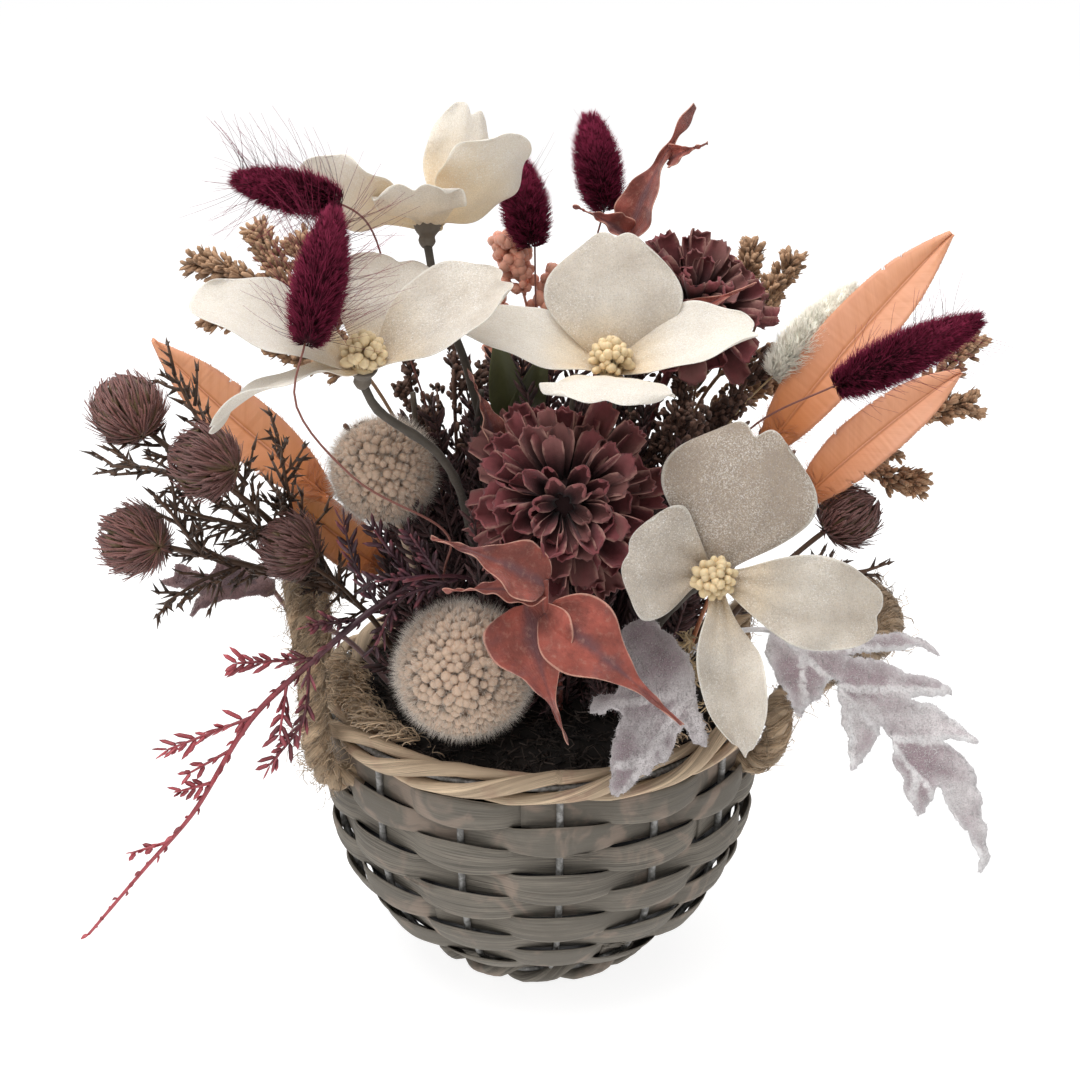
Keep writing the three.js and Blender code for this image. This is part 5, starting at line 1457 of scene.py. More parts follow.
@operator("Feathers")
def make_feathers(look):
    """Four dyed feathers: two smooth vanes on a quill, parted in a few places, with loose barbs at the edge
    and down at the root."""
    finish = feather_vane(look.feather_colour, look.feather_deep_colour)
    slant = 0.8
    for name, (root, tip, faces, width, arch, stem) in FEATHERS.items():
        rng = default_rng(len(name))
        place = leaf_place(root, tip, faces, width, VANE, arch=arch, cup=3, roll=1.2, phase=len(name))
        length = far(root, tip)
        rows, columns = 150, 16
        u, s = np.meshgrid(np.linspace(0, 0.995, rows + 1), np.linspace(-1, 1, columns + 1), indexing="ij")
        barb = u - slant * np.abs(s) * wave(VANE, u) * width / 2 / length
        parts = rng.uniform(0.15, 0.8, 5)
        depth = rng.uniform(0.1, 0.3, 5) * rng.choice([-1, 1], 5)
        pull = sum(np.abs(d) * np.exp(-((barb - p) / 0.004) ** 2) * (s * d > 0) for p, d in zip(parts, depth))
        points = place(u, s * (1 - pull * np.abs(s) ** 3))
        crosswise = place(u, s + 0.05) - place(u, s - 0.05)
        lengthwise = place(u + 0.005, s) - place(u - 0.005, s)
        lift = 1.1 * np.sin(np.pi * np.abs(s)) + 0.05 * rng.normal(size=(rows + 1, 1))
        points = points + unit(np.cross(crosswise, lengthwise)) * lift[..., None]
        grain = np.stack([barb * length * MM, s * width / 2 * MM, 0 * u + len(name)], -1).reshape(-1, 3)
        pile = Pile()
        pile.add(points, [net(rows + 1, columns + 1, strip=True)], 0.5, u.ravel(), np.abs(s).ravel(), grain)
        vane = pile.build(f"feather_{name}_vane")
        thicken(vane, 0.3, 0)
        pile = Pile()
        count = 700
        u = rng.uniform(0.04, 0.97, count)
        side = rng.choice([-1, 1], count)
        steps = even(4)[None]
        reach = 0.8 + (0.2 + rng.uniform(-0.02, 0.07, (count, 1))) * steps
        run = u[:, None] + slant * (reach - 0.8) * width / 2 / length
        threads(pile, place(run, side[:, None] * reach), 0.16, 3, 0.3, tint=0.5, seed=8)
        quill = place(np.linspace(0, 0.985, 40), np.zeros(40))
        sweep(pile, quill, circle(0.75, 8), np.linspace(1, 0.25, 40))
        cane(pile, [*stem, tuple(quill[0]), tuple(quill[1])], 0.9, 24, 8, tint=0.9)
        down = rng.integers(0, 2, 170) * 2 - 1
        u = rng.uniform(0.0, 0.13, 170)
        start = place(u, 0.05 * down)
        end = place(u + 0.05, down * rng.uniform(0.6, 1.25, 170)) + rng.normal(size=(170, 3)) * 2
        threads(pile, bowed(start, end, rng.normal(size=(170, 3))), 0.14, 3, 0.4, tint=0.8)
        join(vane, pile.build("quill"))
        settle(vane, finish, "peach_feather", f"feather_{name}")


# Leaves

FELT = {
    "right": ((88, -42, 155), (167, -78, 74), (0.35, -0.75, 0.55), 7, [
        (-0.02, 1), (0.04, 11), (0.14, 15), (0.24, 19), (0.22, 12), (0.24, 9), (0.22, 1), (0.23, -4),
        (0.31, 5), (0.4, 12), (0.46, 20), (0.46, 7), (0.43, -4), (0.48, -3), (0.53, 3),
        (0.6, 5), (0.64, 8), (0.71, 10), (0.71, 2), (0.68, -5), (0.76, -3), (0.84, -1), (0.86, -3),
        (0.92, -1), (1.0, 4), (0.97, -4),
        (0.86, -12), (0.76, -20), (0.66, -21), (0.59, -18), (0.63, -23), (0.7, -29), (0.6, -29), (0.5, -25),
        (0.43, -19), (0.47, -26), (0.53, -36), (0.47, -35), (0.38, -27), (0.29, -22), (0.2, -12),
        (0.24, -21), (0.29, -28), (0.34, -38), (0.42, -42), (0.34, -42), (0.27, -37), (0.22, -27),
        (0.14, -12), (0.01, -5)],
        [(0.22, 15), (0.44, 17), (0.66, 7), (0.36, -38), (0.5, -33), (0.66, -26)],
        [(46, -24, 108), (62, -32, 146), (88, -42, 155), (94, -47, 151)], 8200),
    "front": ((62, -74, 160), (27, -101, 114), (-0.2, -0.9, 0.35), 5, [
        (0.14, 2), (0.26, -4), (0.34, -11), (0.44, -16), (0.46, -10), (0.4, -5), (0.49, -5), (0.64, -7),
        (0.65, -4), (0.75, -4), (0.77, -1), (0.87, -1), (0.97, 4), (0.87, 7), (0.78, 11), (0.6, 15),
        (0.52, 15), (0.54, 20), (0.62, 22), (0.62, 27), (0.52, 27), (0.46, 21), (0.36, 23),
        (0.25, 30), (0.1, 33), (0.01, 27), (0.02, 18), (0.08, 7)],
        [(0.42, -13), (0.6, -4), (0.58, 24), (0.8, 8)],
        [(28, -42, 108), (36, -52, 146), (44, -72, 156), (46, -80, 152)], 4600),
    "left": ((-103, -18, 163), (-137, -27, 158), (0, -0.7, 0.7), 4, [
        (-0.05, 1), (0.11, 6), (0.24, 10), (0.28, 14), (0.41, 16), (0.49, 14), (0.58, 9), (0.71, 10),
        (0.8, 15), (0.93, 18), (0.98, 13), (1.16, 13), (0.93, 7), (0.74, 4), (0.8, 1), (0.92, -6), (0.7, -3),
        (0.55, -2), (0.4, -3), (0.2, -3), (0.0, -4)],
        [(0.38, 13), (0.86, 14), (0.84, -3), (1.05, 11)],
        [(-50, -16, 108), (-76, -12, 138), (-96, -14, 150), (-104, -18, 163), (-107, -19, 165)], 1500),
}


@operator("Felted leaves")
def make_felted_leaves(look):
    """Three lobed leaves with raised veins and a flocked surface of short standing fibres."""
    # Painted shade: the front and left leaves are darker copies of the flock, since they lie in shadow.
    lit_and_shaded_felt = {"right": (look.felt_colour, 1.0), "front": (lit(look.felt_colour, 0.66), 0.66),
             "left": (look.felt_shaded_colour, 0.45)}
    for name, (root, tip, faces, arch, outline, lobes, stem, fibres) in FELT.items():
        colour, share = lit_and_shaded_felt[name]
        finish = felt_leaf(f"felted_leaf_{name}", colour, lit(look.felt_vein_colour, share))
        hairy = soft_finish(f"felt_pile_{name}", colour, 0.7, 1.2, 0.3, colour, 300, 0.9, 0.05, 0.1)
        pile = Pile()
        cut_leaf(pile, root, tip, faces, arch, outline, lobes)
        leaf = pile.build(f"felt_{name}")
        thicken(leaf, 1.0, 0)
        hairs = fuzz(leaf, int(1.45 * fibres), 1.35, 0.23, fibres, 0.6)
        settle(hairs, hairy, "felted_leaf")
        pile = Pile()
        cane(pile, stem, 1.2, 30, 8, 0.8, 0.05)
        join(leaf, pile.build("stalk"))
        settle(leaf, finish, "felted_leaf", f"felted_leaf_{name}")


HEART = [0.3, 0.72, 0.95, 1.0, 0.93, 0.78, 0.58, 0.4, 0.26, 0.17, 0.11, 0.08, 0.06, 0.05, 0.03]
RUST = {
    "front": ([((2, -89, 194), (-37, -93, 213), (0, -0.7, 0.7), 22, 4, 0),
               ((-5, -84, 185), (10, -97, 138), (-0.3, -0.9, 0.3), 33, 5, 2),
               ((2, -88, 184), (49, -100, 146), (0.3, -0.9, 0.4), 30, 4, 0.3),
               ((2, -88, 190), (-33, -84, 189), (0, -0.5, 0.8), 15, 3, 1)],
              [[(8, -38, 108), (7, -46, 145), (4, -66, 164), (2, -84, 174)],
               [(2, -84, 172), (2, -87, 181), (2, -88, 188), (2, -89, 196)]]),
    "top": ([((34, 20, 291), (58, 26, 338), (-0.5, -0.8, 0.2), 19, 5, 3),
             ((34, 20, 290), (12, 14, 303), (0, -0.7, 0.6), 9, 3, 1),
             ((48, 22, 319), (62, 16, 326), (-0.4, -0.8, 0.3), 9, 2, 1),
             ((50, 6, 262), (80, 2, 277), (0.2, -0.9, 0.4), 9, 3, 2),
             ((-16, -48, 230), (-26, -42, 257), (0.4, -0.8, 0.3), 8, 3, 1)],
            [[(20, 4, 108), (20, 4, 200), (22, 4, 250), (34, 20, 293)]]),
}


@operator("Rust and green leaves")
def make_rust_leaves(look):
    """Rust-red heart-shaped cloth leaves whose tips are drawn out long and curl, and two olive leaves."""
    finish = cloth_leaf(look.rust_colour, look.rust_vein_colour, look.rust_rim_colour)
    for name, (leaves, stems) in RUST.items():
        rng = default_rng(17)
        pile = Pile()
        for root, tip, faces, width, arch, roll in leaves:
            place = leaf_place(root, tip, faces, width, HEART, arch, 4, roll=roll, ruffle=1.5, ruffles=4.2,
                               crease=0.25, phase=TAU * rng.random(), curl=8)
            petal_sheet(pile, place, 26, 10, rng.random())
        leaf = pile.build(f"rust_{name}")
        thicken(leaf, 0.6, 1)
        pile = Pile()
        for stem in stems:
            cane(pile, stem, 1.1, 26, 8, 0.9, 0.05, 0.3)
        join(leaf, pile.build("stalk"))
        settle(leaf, finish, "rust_leaf", f"rust_leaf_sprig_{name}")
    finish = soft_finish("olive_leaf", look.leaf_colour, 0.6, 1.3, 0.4, look.leaf_colour, 120, 0.5, 0.3)
    pile = Pile()
    for root, tip, faces, width in (((-10, -10, 226), (-16, -16, 262), (0, -0.9, 0.3), 14),
                                    ((-10, -10, 222), (2, -12, 256), (0.2, -0.9, 0.3), 13)):
        petal_sheet(pile, leaf_place(root, tip, faces, width, [0.2, 0.8, 1, 0.9, 0.7, 0.4, 0.1], 3, 3), 14, 8)
    leaf = pile.build("olive_leaves")
    thicken(leaf, 0.7, 1)
    pile = Pile()
    cane(pile, [(-10, -8, 108), (-10, -8, 180), (-10, -10, 228)], 1.0, 16, 6)
    join(leaf, pile.build("stalk"))
    settle(leaf, finish, "green_leaf", "green_leaves")


# Thistles, sprigs, seeds and buds

# Each head holds its centre, axis, radius and light. A low light paints shade on the heads that lie in
# shadow.
THISTLES = {
    "left": ([((-149, -35, 240), (-0.5, 0.55, 0.7), 13, 1.0),
              ((-119, -52, 226), (-0.95, 0.25, 0.15), 13, 0.5),
              ((-149, -42, 192), (-0.85, 0.5, 0.05), 13, 1.2),
              ((-91, -48, 192), (-0.9, 0.2, 0.25), 11.5, 0.1)],
             [[(-48, -8, 108), (-66, -20, 152), (-88, -30, 174)]],
             [((-87, -29, 173), (-119, -34, 205)), ((-118, -34, 204), (-145, -35, 234)),
              ((-84, -28, 170), (-114, -48, 217)), ((-79, -26, 165), (-142, -41, 190)),
              ((-67, -20, 153), (-89, -46, 187)), ((-112, -34, 178), (-138, -50, 170)),
              ((-75, -24, 161), (-96, -36, 208)), ((-106, -44, 214), (-131, -38, 255)),
              ((-128, -48, 219), (-154, -48, 223)), ((-98, -37, 192), (-131, -46, 205)),
              ((-90, -30, 176), (-95, -38, 232)), ((-124, -37, 183), (-134, -48, 206))]),
    "right": ([((118, -12, 190), (0.7, -0.2, 0.6), 12, 0.6)],
              [[(52, -14, 108), (76, -16, 152), (100, -13, 176), (112, -12, 186)]],
              [((86, -15, 161), (124, -24, 172)), ((74, -16, 150), (112, -2, 164))]),
}


@operator("Thistles")
def make_thistles(look):
    """Bristly heads wrapped in long bracts from their foot, on twigs of forked needles."""
    finish = soft_finish("thistle_bract", look.thistle_colour, 0.4, 1.6, 0.55, look.thistle_tip_colour,
                         240, 0.5, 0.15, 0.05, foot_tone_and_shade=look.thistle_foot_colour)
    leafy = soft_finish("thistle_needle", look.needle_colour, 0.5, 1.5, 0.4, lit(look.needle_colour, 1.9),
                        200, 0.6, 0.15, 0.1)
    for side, (heads, stems, twigs) in THISTLES.items():
        rng = default_rng(len(side))
        pile = Pile()
        for centre, axis, radius, light in heads:
            centre, axis = vec(*centre), unit(vec(*axis))
            BEAD.copies(pile, centre + axis * radius * 0.78, centre - axis * radius * 0.85, (0, 1, 0.2),
                        radius * 1.62, tint=0.0)
            count = 520
            end = np.arccos(1 - 2 * np.clip(rng.uniform(0.1, 1.06, count), 0, 0.995))
            turn = np.arange(count) * GOLDEN_ANGLE + rng.normal(size=count) * 0.1
            steps = even(5)
            polar = np.maximum(end[:, None] - np.radians(66) * (1 - steps[None]), 0.1)
            layer = rng.random((count, 1))
            flare = (0.1 + 0.2 * layer ** 2) * np.maximum(0.45, np.sin(end))[:, None]
            swell = 0.85 + 0.07 * layer + 0.06 * steps[None] + flare * steps[None] ** 4
            twist = turn[:, None] + 0.16 * steps[None] * rng.normal(size=(count, 1))
            ball = on_ball(polar, twist) * (1, 1, -0.98)
            # Painted shade: the head's light scales its bracts' tint, so the heads in shadow come out darker.
            threads(pile, centre + turned(ball * (swell * radius)[..., None], axis), 0.85, 4, 0.3,
                    tint=light * rng.random(count) ** 1.4 * 1.3, seed=4, flat=0.4, facing=turned(ball, axis))
        settle(pile.build(f"thistle_heads_{side}"), finish, "thistle")
        pile = Pile()
        for stem in stems:
            cane(pile, stem, 1.3, 24, 7, 0.8, 0.1)
        for order, (low, high) in enumerate(twigs):
            low, high = vec(*low), vec(*high)
            way = high - low
            length = far(low, high)
            path = smooth_path([low, low + 0.5 * way + rng.normal(size=3) * 1.2, high], 14)
            cane(pile, path, 1.6 if order < len(heads) else 0.95, 14, 6, 0.6, 0.1)
            count = max(5, int(length / 3.1))
            share = (np.arange(count) + 0.6) / count
            roots = low + share[:, None] * way
            out = any_side(np.tile(way, (count, 1)), rng)
            ways = unit(out + unit(way) * rng.uniform(0.5, 1.1, (count, 1)))
            reach = rng.uniform(8, 14.5, (count, 1)) * (1 - 0.25 * share[:, None])
            bend = (unit(way) * 0.25 + rng.normal(size=(count, 3)) * 0.08)[:, None]
            steps = even(4)[None, :, None]
            rise = bend * reach[:, None] * steps ** 2
            lines = roots[:, None] + ways[:, None] * reach[:, None] * steps + rise
            threads(pile, lines, 0.8, 4, 0.6, seed=6)
            for fork in range(4):
                at = lines[:, 1 + fork % 3]
                turn_out = unit(ways + 0.85 * any_side(ways, rng))
                size = rng.uniform(3.6, 7.2, (count, 1))
                NEEDLE.copies(pile, at, at + turn_out * size, any_side(ways, rng),
                              rng.uniform(1.5, 2.2, count), rng=rng)
            NEEDLE.copies(pile, lines[:, 3] - ways * 0.5, lines[:, 3] + ways * 3.6, out, 1.8, rng=rng)
        settle(pile.build(f"thistle_twigs_{side}"), leafy, "thistle", f"thistle_spray_{side}")


TRAIL = [(-44, -50, 179), (-61, -66, 174), (-80, -78, 161), (-102, -86, 142), (-125, -92, 106),
         (-143, -94, 85), (-166, -95, 57)]
SPRIGS = {
    "trailing": ([[(-42, -24, 108), (-46, -36, 156), TRAIL[0]], TRAIL], [
        ([(-80, -78, 161), (-106, -88, 164)], 9, 9),
        ([(-82, -79, 160), (-84, -88, 142), (-96, -92, 126)], 6, 9),
        ([(-102, -86, 142), (-132, -92, 132)], 9, 9), ([(-118, -91, 118), (-128, -93, 116)], 4, 7),
        ([(-134, -93, 95), (-146, -95, 92)], 4, 6),
        ([(-58, -64, 175), (-66, -62, 190), (-70, -58, 204)], 5, 9),
        ([(-46, -52, 179), (-60, -52, 200)], 7, 9), ([(-66, -69, 172), (-80, -82, 176)], 6, 8),
        ([(-90, -82, 153), (-92, -92, 138)], 5, 8), ([(-110, -88, 130), (-124, -94, 124)], 3, 6)]),
    "short": ([[(-12, -44, 108), (-2, -36, 150), (-24, -46, 177), (-38, -62, 186), (-48, -76, 190)]], [
        ([(-36, -60, 185), (-46, -66, 204)], 8, 9),
        ([(-30, -53, 181), (-50, -64, 178), (-58, -82, 168)], 6, 9),
        ([(-40, -64, 187), (-58, -76, 190)], 7, 9)]),
}


def leafy_twig(pile, points, thick, pairs, length, width, rng):
    """A thin twig with small pointed leaves set all round it, leaning to its tip."""
    points = [vec(*p) for p in points]
    cane(pile, points, thick, 5 * len(points), 6, 0.6, 0.1, rng.random())
    path = smooth_path(points, pairs * (len(points) - 1) + 2)[1:]
    ways = heading(path)
    side = any_side(ways, rng)
    for sign in (-1, 1, 0):
        side = -side if sign else any_side(ways, rng)
        lean = unit(side + ways * rng.uniform(0.7, 1.5, (len(path), 1)))
        size = length * rng.uniform(0.65, 1.15, (len(path), 1)) * (1 if sign else 0.7)
        SPINDLE.copies(pile, path, path + lean * size, np.cross(ways, side), width, 0.3 * width,
                       droop=ways * 0.18, rng=rng)


@operator("Red sprigs")
def make_red_sprigs(look):
    """Two moulded sprigs, one that trails over the rim and a short one."""
    finish = moulded_sprig(look.sprig_colour, look.sprig_dark_colour)
    for name, (trunks, branches) in SPRIGS.items():
        rng = default_rng(len(name) + 2)
        pile = Pile()
        for trunk in trunks:
            cane(pile, trunk, 1.4, 40, 7, 0.4, 0.12, 0.5)
        if name == "trailing":
            tail = smooth_path(TRAIL, 40)[6:]
            side = any_side(np.gradient(tail, axis=0), rng)
            ways = heading(tail)
            size = np.linspace(6, 3, len(tail))[:, None] * rng.uniform(0.5, 1.1, (len(tail), 1))
            LEAFLET.copies(pile, tail, tail + unit(side * 0.7 + ways) * size, side, 1.5, rng=rng)
        for points, pairs, length in branches:
            leafy_twig(pile, points, 0.75, int(0.9 * pairs), 0.8 * length, 1.9, rng)
        settle(pile.build(f"sprig_{name}"), finish, "red_sprig", f"red_sprig_{name}")


SEEDS = {
    "seed_spray_left": ([(-30, 18, 108), (-42, 18, 180), (-66, 16, 236), (-98, 18, 268)],
                        [(-130, 20, 280), (-124, 8, 262), (-108, 28, 290), (-92, 26, 286), (-100, 6, 252)]),
    "seed_spray_back": ([(34, 26, 108), (48, 30, 180), (66, 40, 222), (84, 44, 242)],
                        [(100, 50, 274), (84, 58, 276), (114, 44, 250), (100, 40, 230), (66, 56, 250)]),
    "seed_spray_right": ([(55, 9, 108), (84, 16, 168), (120, 16, 206), (146, 12, 230)],
                         [(164, 12, 252), (165, 6, 228), (150, 26, 226), (140, 26, 204), (146, 2, 198)]),
    "bud_spray": ([(-8, 24, 108), (-8, 28, 200), (-6, 30, 240), (-5, 32, 262)],
                  [(-12, 30, 286), (8, 30, 272), (-24, 30, 268), (6, 30, 250), (-16, 36, 246)]),
}


@operator("Seeds and buds")
def make_seeds_and_buds(look):
    """Three sprays of pointed seeds in clusters, and one of round buds on fleshy stalks."""
    brown = soft_finish("dry_seed", look.seed_colour, 0.5, 1.5, 0.6, lit(look.seed_colour, 1.7), 320, 0.75,
                        0.15, 0.1)
    pink = soft_finish("pink_bud", look.bud_colour, 0.7, 1.2, 0.4, lit(look.bud_colour, 1.25), 200, 0.5,
                       0.1, 0.2, glow=0.3)
    for name, (stem, tips) in SEEDS.items():
        rng = default_rng(len(name) + 5)
        pile = Pile()
        cane(pile, stem, 0.9, 30, 6, 0.8, 0.1, 0.2)
        path = smooth_path(stem, 90)
        for k, tip in enumerate(tips):
            tip = vec(*tip)
            start = path[(88, 78, 78, 66, 66)[k]]
            way = unit(tip - start)
            length = far(start, tip)
            spike = smooth_path(astray(start, tip, rng, 1.5), 12)
            cane(pile, spike, 0.6, 12, 5, 0.6, 0.0, 0.3)
            count = int(length * (4.4 if name != "bud_spray" else 3.6))
            share = np.sqrt(rng.uniform(0.03, 1, count))
            spots = np.stack([np.interp(share, even(12), spike[:, i]) for i in range(3)], -1)
            side = any_side(np.tile(way, (count, 1)), rng)
            if name == "bud_spray":
                ends = spots + unit(side + 0.6 * way) * rng.uniform(2.5, 5.2, (count, 1))
                threads(pile, bowed(spots, ends, 0.4 * way), 0.85, 5, 0.9, tint=0.2)
                size = rng.uniform(3.6, 5.2, (count, 1))
                PIP.copies(pile, ends - way * 0.5, ends + unit(side + way) * size, side, size[:, 0] * 0.92,
                           rng=rng)
                continue
            ends = spots + unit(side + 0.5 * way) * rng.uniform(0.8, 4.2, (count, 1))
            ways = unit(way + side * rng.uniform(0.1, 0.9, (count, 1)) + rng.normal(size=(count, 3)) * 0.3)
            size = rng.uniform(3.5, 6.0, (count, 1))
            threads(pile, np.stack([spots, ends + 0.3 * ways], 1), 0.28, 4, 0.8, tint=0.3)
            SEED.copies(pile, ends, ends + ways * size, side, rng.uniform(1.9, 2.9, count), rng=rng)
            husk = rng.random(count) < 0.6
            SPINDLE.copies(pile, ends[husk], (ends + unit(ways + 0.5 * side) * size * 1.1)[husk], side[husk],
                           1.3, 0.5, rng=rng)
        finish, slot = (pink, "bud") if name == "bud_spray" else (brown, "seed")
        settle(pile.build(name + "_heads"), finish, slot, name)


SEED_STEMS = [
    ((20, 20), (70, 18, 226)), ((24, 24), (90, 26, 250)), ((22, 8), (80, 10, 218)),
    ((26, 14), (62, 24, 238)), ((-20, 10), (-52, -4, 232)), ((-22, 20), (-34, 18, 250)),
    ((30, 0), (92, 2, 206)), ((-24, 26), (-56, 20, 246)), ((16, 30), (44, 34, 246)),
    ((28, 2), (56, 4, 236)), ((30, 8), (68, 6, 222)), ((24, 4), (46, 8, 226)),
    ((26, 10), (74, 24, 232)), ((26, 6), (56, 18, 214)), ((20, 16), (38, 22, 236))]
TWIGS = [
    [(-12, 4, 119), (-16, 6, 180), (-9, 2, 226), (-14, 0, 262)], [(-9, 2, 226), (-2, 4, 246)],
    [(-16, 6, 190), (-24, 0, 214), (-22, -6, 238)], [(30, 6, 119), (36, 8, 190), (34, 12, 246)],
    [(10, 10, 119), (8, 12, 190), (14, 8, 240)], [(-32, -6, 119), (-44, -6, 180), (-48, -2, 236)]]


def low_foliage(pile, rng):
    """Twigs all over the foam, and denser ones on the left."""
    for k in range(76):
        turn = TAU * k * GOLDEN_SHARE
        foot = 50 * math.sqrt((k + 0.5) / 76)
        low = around(turn, foot, FOAM_TOP)
        spread = foot * rng.uniform(1.15, 1.5) + 3
        high = around(turn + rng.normal() * 0.2, min(spread, 68), rng.uniform(150, 218) - 0.35 * foot)
        leafy_twig(pile, astray(low, high, rng, 4), 0.8, 9, 8, 1.7, rng)
    for k in range(34):
        turn = math.radians(rng.uniform(-100, -10))
        low = around(turn, rng.uniform(20, 48), FOAM_TOP)
        high = low + around(turn + rng.normal() * 0.3, rng.uniform(4, 14), 0) + vec(0, 0, rng.uniform(24, 74))
        leafy_twig(pile, astray(low, high, rng, 3), 0.8, 9, 8, 1.8, rng)


def tall_foliage(pile, rng):
    """Forked twigs up to the flowers."""
    for _ in range(70):
        high = vec(rng.uniform(-62, 62), rng.uniform(-24, 40), 0)
        high[2] = rng.uniform(196, 262) - 0.012 * high[0] ** 2
        low = vec(0.45 * high[0], 0.45 * high[1], FOAM_TOP)
        middle = 0.45 * low + 0.55 * high + rng.normal(size=3) * 6
        fork = middle + (high - middle) * 0.4 + rng.normal(size=3) * (9, 9, 4) + vec(0, 0, 8)
        leafy_twig(pile, [low + 0.7 * (middle - low), middle, high], 0.7, 11, 8, 2.0, rng)
        leafy_twig(pile, [middle, 0.5 * (middle + fork), fork], 0.5, 6, 7, 1.9, rng)
        cane(pile, [low, low + 0.75 * (middle - low)], 0.8, 10, 5)


def seed_heads(pile, rng):
    """Stems with four side twigs full of seeds."""
    count = 46
    for low, high in SEED_STEMS:
        path = smooth_path(astray(vec(*low, FOAM_TOP), vec(*high), rng, 3), 60)
        cane(pile, path[::6], 0.8, 20, 6)
        for start in (26, 34, 42, 50):
            tip = path[start] + (path[-1] - path[start]) * 0.75 + rng.normal(size=3) * (9, 9, 5)
            share = rng.uniform(0.1, 1, (count, 1))
            spots = path[start] + share * (tip - path[start]) + rng.normal(size=(count, 3)) * 1.5
            ways = unit(unit(tip - path[start]) + rng.normal(size=(count, 3)) * 0.5)
            SEED.copies(pile, spots, spots + ways * rng.uniform(3.0, 4.8, (count, 1)), any_side(ways, rng),
                        rng.uniform(1.9, 3.0, count), rng=rng)
            cane(pile, [path[start], 0.5 * (path[start] + tip), tip], 0.45, 6, 4)


def bare_twigs(pile, rng):
    """Thick knotted twigs without leaves."""
    for points in TWIGS:
        cane(pile, points, 1.5, 34, 7, 0.7, 0.25, rng.random())


def straw_stars(pile, rng):
    """Stars of thin straws by the lowest bloom."""
    for k in range(26):
        middle = vec(rng.uniform(44, 68), rng.uniform(-66, -52), rng.uniform(124, 160))
        ways = unit(rng.normal(size=(13, 3)))
        ends = middle + ways * rng.uniform(2.5, 6.5, (13, 1))
        threads(pile, bowed(np.tile(middle, (13, 1)), ends, rng.normal(size=(13, 3)) * 0.5), 0.42, 4, 0.5,
                seed=k)


@operator("Undergrowth")
def make_undergrowth(look):
    """Small foliage, seed heads and twigs that fill the room between the stems, and straw stars."""
    rng = default_rng(77)
    dark = soft_finish("dark_foliage", look.foliage_colour, 0.35, 2.0, 0.4, lit(look.foliage_colour, 2.4),
                       60, 0.7, 0.15, 0.05)
    seeds = soft_finish("dark_seed", look.dark_seed_colour, 0.4, 1.5, 0.6, lit(look.dark_seed_colour, 1.9),
                        320, 0.8, 0.15, 0.05)
    bark = soft_finish("bare_twig", look.bark_colour, 0.45, 1.6, 0.0, None, 130, 0.8, 0.5)
    straw = fibre_finish("straw", look.straw_colour, 0.55, 1.4)
    for name, fill, finish, slot in (("undergrowth", low_foliage, dark, "red_sprig"),
                                     ("tall_undergrowth", tall_foliage, dark, "red_sprig"),
                                     ("back_seeds", seed_heads, seeds, "seed"),
                                     ("bare_twigs", bare_twigs, bark, "bark"),
                                     ("straw_stars", straw_stars, straw, "moss")):
        pile = Pile()
        fill(pile, rng)
        settle(pile.build(name), finish, slot)


# Settings

def colours(**given):
    """A colour setting for each name, from its description and its default."""
    return {name + "_colour": bpy.props.FloatVectorProperty(
        name=name.replace("_", " ").capitalize() + " colour", description=description, subtype="COLOR",
        size=3, min=0, max=1, default=tone(code)) for name, (description, code) in given.items()}


def lengths(**given):
    """A length setting for each name, from its description and its default in metres."""
    return {name: bpy.props.FloatProperty(
        name=name.replace("_", " ").capitalize(), description=description, subtype="DISTANCE", unit="LENGTH",
        default=default, min=0.0001, max=0.05) for name, (description, default) in given.items()}


class BasketLook(bpy.types.PropertyGroup):
    """Sizes and colours of the basket and its handles."""

    __annotations__ = lengths(
        splint_height=("Height of a splint where it bulges", 0.0131),
        splint_thickness=("Thickness of a splint", 0.0013),
        wire_radius=("Radius of the frame's wires", 0.0014),
        rod_radius=("Radius of the willow rods in the rim", 0.0029),
        rope_radius=("Radius of the laid rope of the handles", 0.0052)) | colours(
        splint=("Weathered grey-brown willow", 0x817a6f),
        rim=("Light brown willow of the rim", 0xd2b99b),
        board=("Wood of the base board", 0x9c8466),
        rope=("Jute of the handles", 0xbda384),
        moss=("Dark dried moss", 0x2a2420),
        # Painted shade: the dark sheet inside the weave stands for the shadow in the basket.
        liner=("Dark film inside the weave", 0x1d1e24))


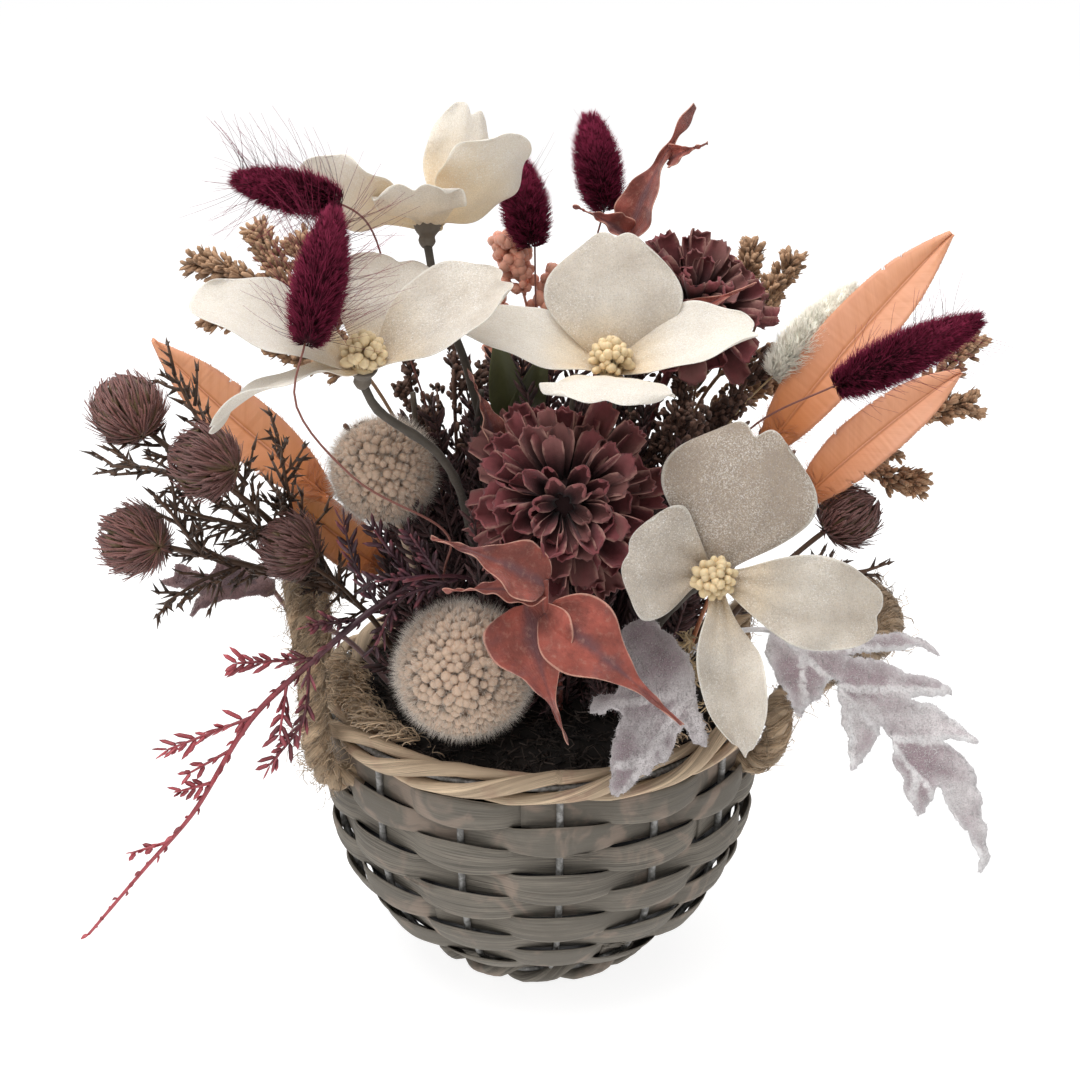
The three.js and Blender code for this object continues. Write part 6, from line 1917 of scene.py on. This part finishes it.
class BloomLook(bpy.types.PropertyGroup):
    """Sizes and colours of the flowers and foliage."""

    __annotations__ = lengths(
        fuzz_length=("Length of the hairs on the globe heads", 0.0042)) | colours(
        petal=("Cream velvet", 0xf4ede2),
        # Painted shade: the grey beige that the petals in shadow are pulled towards.
        petal_shadow=("Grey beige of the glittering petals", 0xa3968b),
        petal_heart=("Warm tone near the heart", 0xf0d2a6),
        stamen=("Pale bead stamens", 0xd0ba92),
        bark=("Dark stems of the white flowers", 0x5a5248),
        chrysanthemum=("Dusty mauve brown", 0x73393c),
        chrysanthemum_edge=("Pale worn petal edges", 0xa98074),
        globe=("Beige pips", 0xc3a993),
        down=("Pale hairs of the globe heads", 0xe6dacd),
        plume=("Burgundy plumes", 0x5c152c),
        stalk=("Thin dry stalks of the plumes", 0x74443a),
        bleached=("Bleached plume", 0xfff6e8),
        feather=("Peach feathers", 0xe09c7c),
        feather_deep=("Orange at the feathers' foot", 0xc0713f),
        felt=("Grey mauve flock", 0xf4eded),
        # Painted shade: the left leaf's flock is darkened because it lies in shadow.
        felt_shaded=("Mauve brown flock of the left leaf", 0x8d6f6e),
        # Partly painted shade: the mauve laid in the hollows of the felted leaves.
        felt_vein=("Mauve cast of the hollows", 0x9b8189),
        rust=("Rust-red cloth", 0x98493b),
        rust_vein=("Dark streak of the rust leaves", 0x5b3f46),
        rust_rim=("Pale cut edge of the rust leaves", 0xd9a893),
        leaf=("Dark olive leaf", 0x4a4c26),
        thistle=("Bracts of the thistles", 0x67403a),
        thistle_tip=("Tips of the bracts", 0x835650),
        thistle_foot=("Olive foot of the bracts", 0x6b5637),
        needle=("Needles of the thistles", 0x47301f),
        sprig=("Dusty red sprigs", 0xae4e55),
        sprig_dark=("Purple brown of the sprigs over the basket", 0x452a32),
        seed=("Dry seeds", 0x9a7a5e),
        dark_seed=("Seed heads between the stems", 0x5b4338),
        bud=("Salmon pink buds", 0xe0a28a),
        foliage=("Dark foliage between the stems", 0x3d2626),
        straw=("Pale straw by the lowest bloom", 0xb39a72))


class StageLook(bpy.types.PropertyGroup):
    """Light of the studio."""

    key_light: bpy.props.FloatProperty(name="Key light", description="Power of the main soft light",
                                       subtype="POWER", unit="POWER", default=21, min=0)
    room_light: bpy.props.FloatProperty(name="Room light", default=0.36, min=0,
                                        description="Strength of the even light of the room")
    floor_glow: bpy.props.FloatProperty(name="Floor glow", description="How much the pale floor is lifted",
                                        default=0.85, min=0)


LOOKS = {"basket_look": BasketLook, "bloom_look": BloomLook, "stage_look": StageLook}


# The add-on

class BASKET_PT_makers(bpy.types.Panel):
    """Lists the pieces in the order in which they are made"""

    bl_label = "Flower Basket"
    bl_idname = "BASKET_PT_makers"
    bl_space_type = "VIEW_3D"
    bl_region_type = "UI"
    bl_category = "Flower Basket"

    def draw(self, context):
        for maker in MAKERS:
            self.layout.operator(maker.bl_idname)
        for name, group in LOOKS.items():
            box = self.layout.box()
            for key in group.__annotations__:
                box.prop(getattr(context.scene, name), key)


def register():
    """Adds the settings, the operators and the panel."""
    for group in (*LOOKS.values(), *MAKERS, BASKET_PT_makers):
        bpy.utils.register_class(group)
    for name, group in LOOKS.items():
        setattr(bpy.types.Scene, name, bpy.props.PointerProperty(type=group))


def unregister():
    """Takes away what register adds."""
    for name in LOOKS:
        delattr(bpy.types.Scene, name)
    for group in (BASKET_PT_makers, *reversed(MAKERS), *reversed(LOOKS.values())):
        bpy.utils.unregister_class(group)


# Shapes that are copied many times
NEEDLE = needle_shape()
HAIR = needle_shape(1)
BEAD = bead_shape(8, 6)
PIP = bead_shape(7, 5)
SEED = bead_shape(5, 4, 0.35)
SPINDLE = bead_shape(4, 2)
LEAFLET = blade_shape([0.25, 0.85, 1, 0.7, 0.12], (0, 0.1, 0), 0.35, 0.22)


def main():
    """Makes all pieces in order and writes the size of the whole."""
    register()
    for maker in MAKERS:
        area, name = maker.bl_idname.split(".")
        getattr(getattr(bpy.ops, area), name)()


if __name__ == "__main__":
    main()
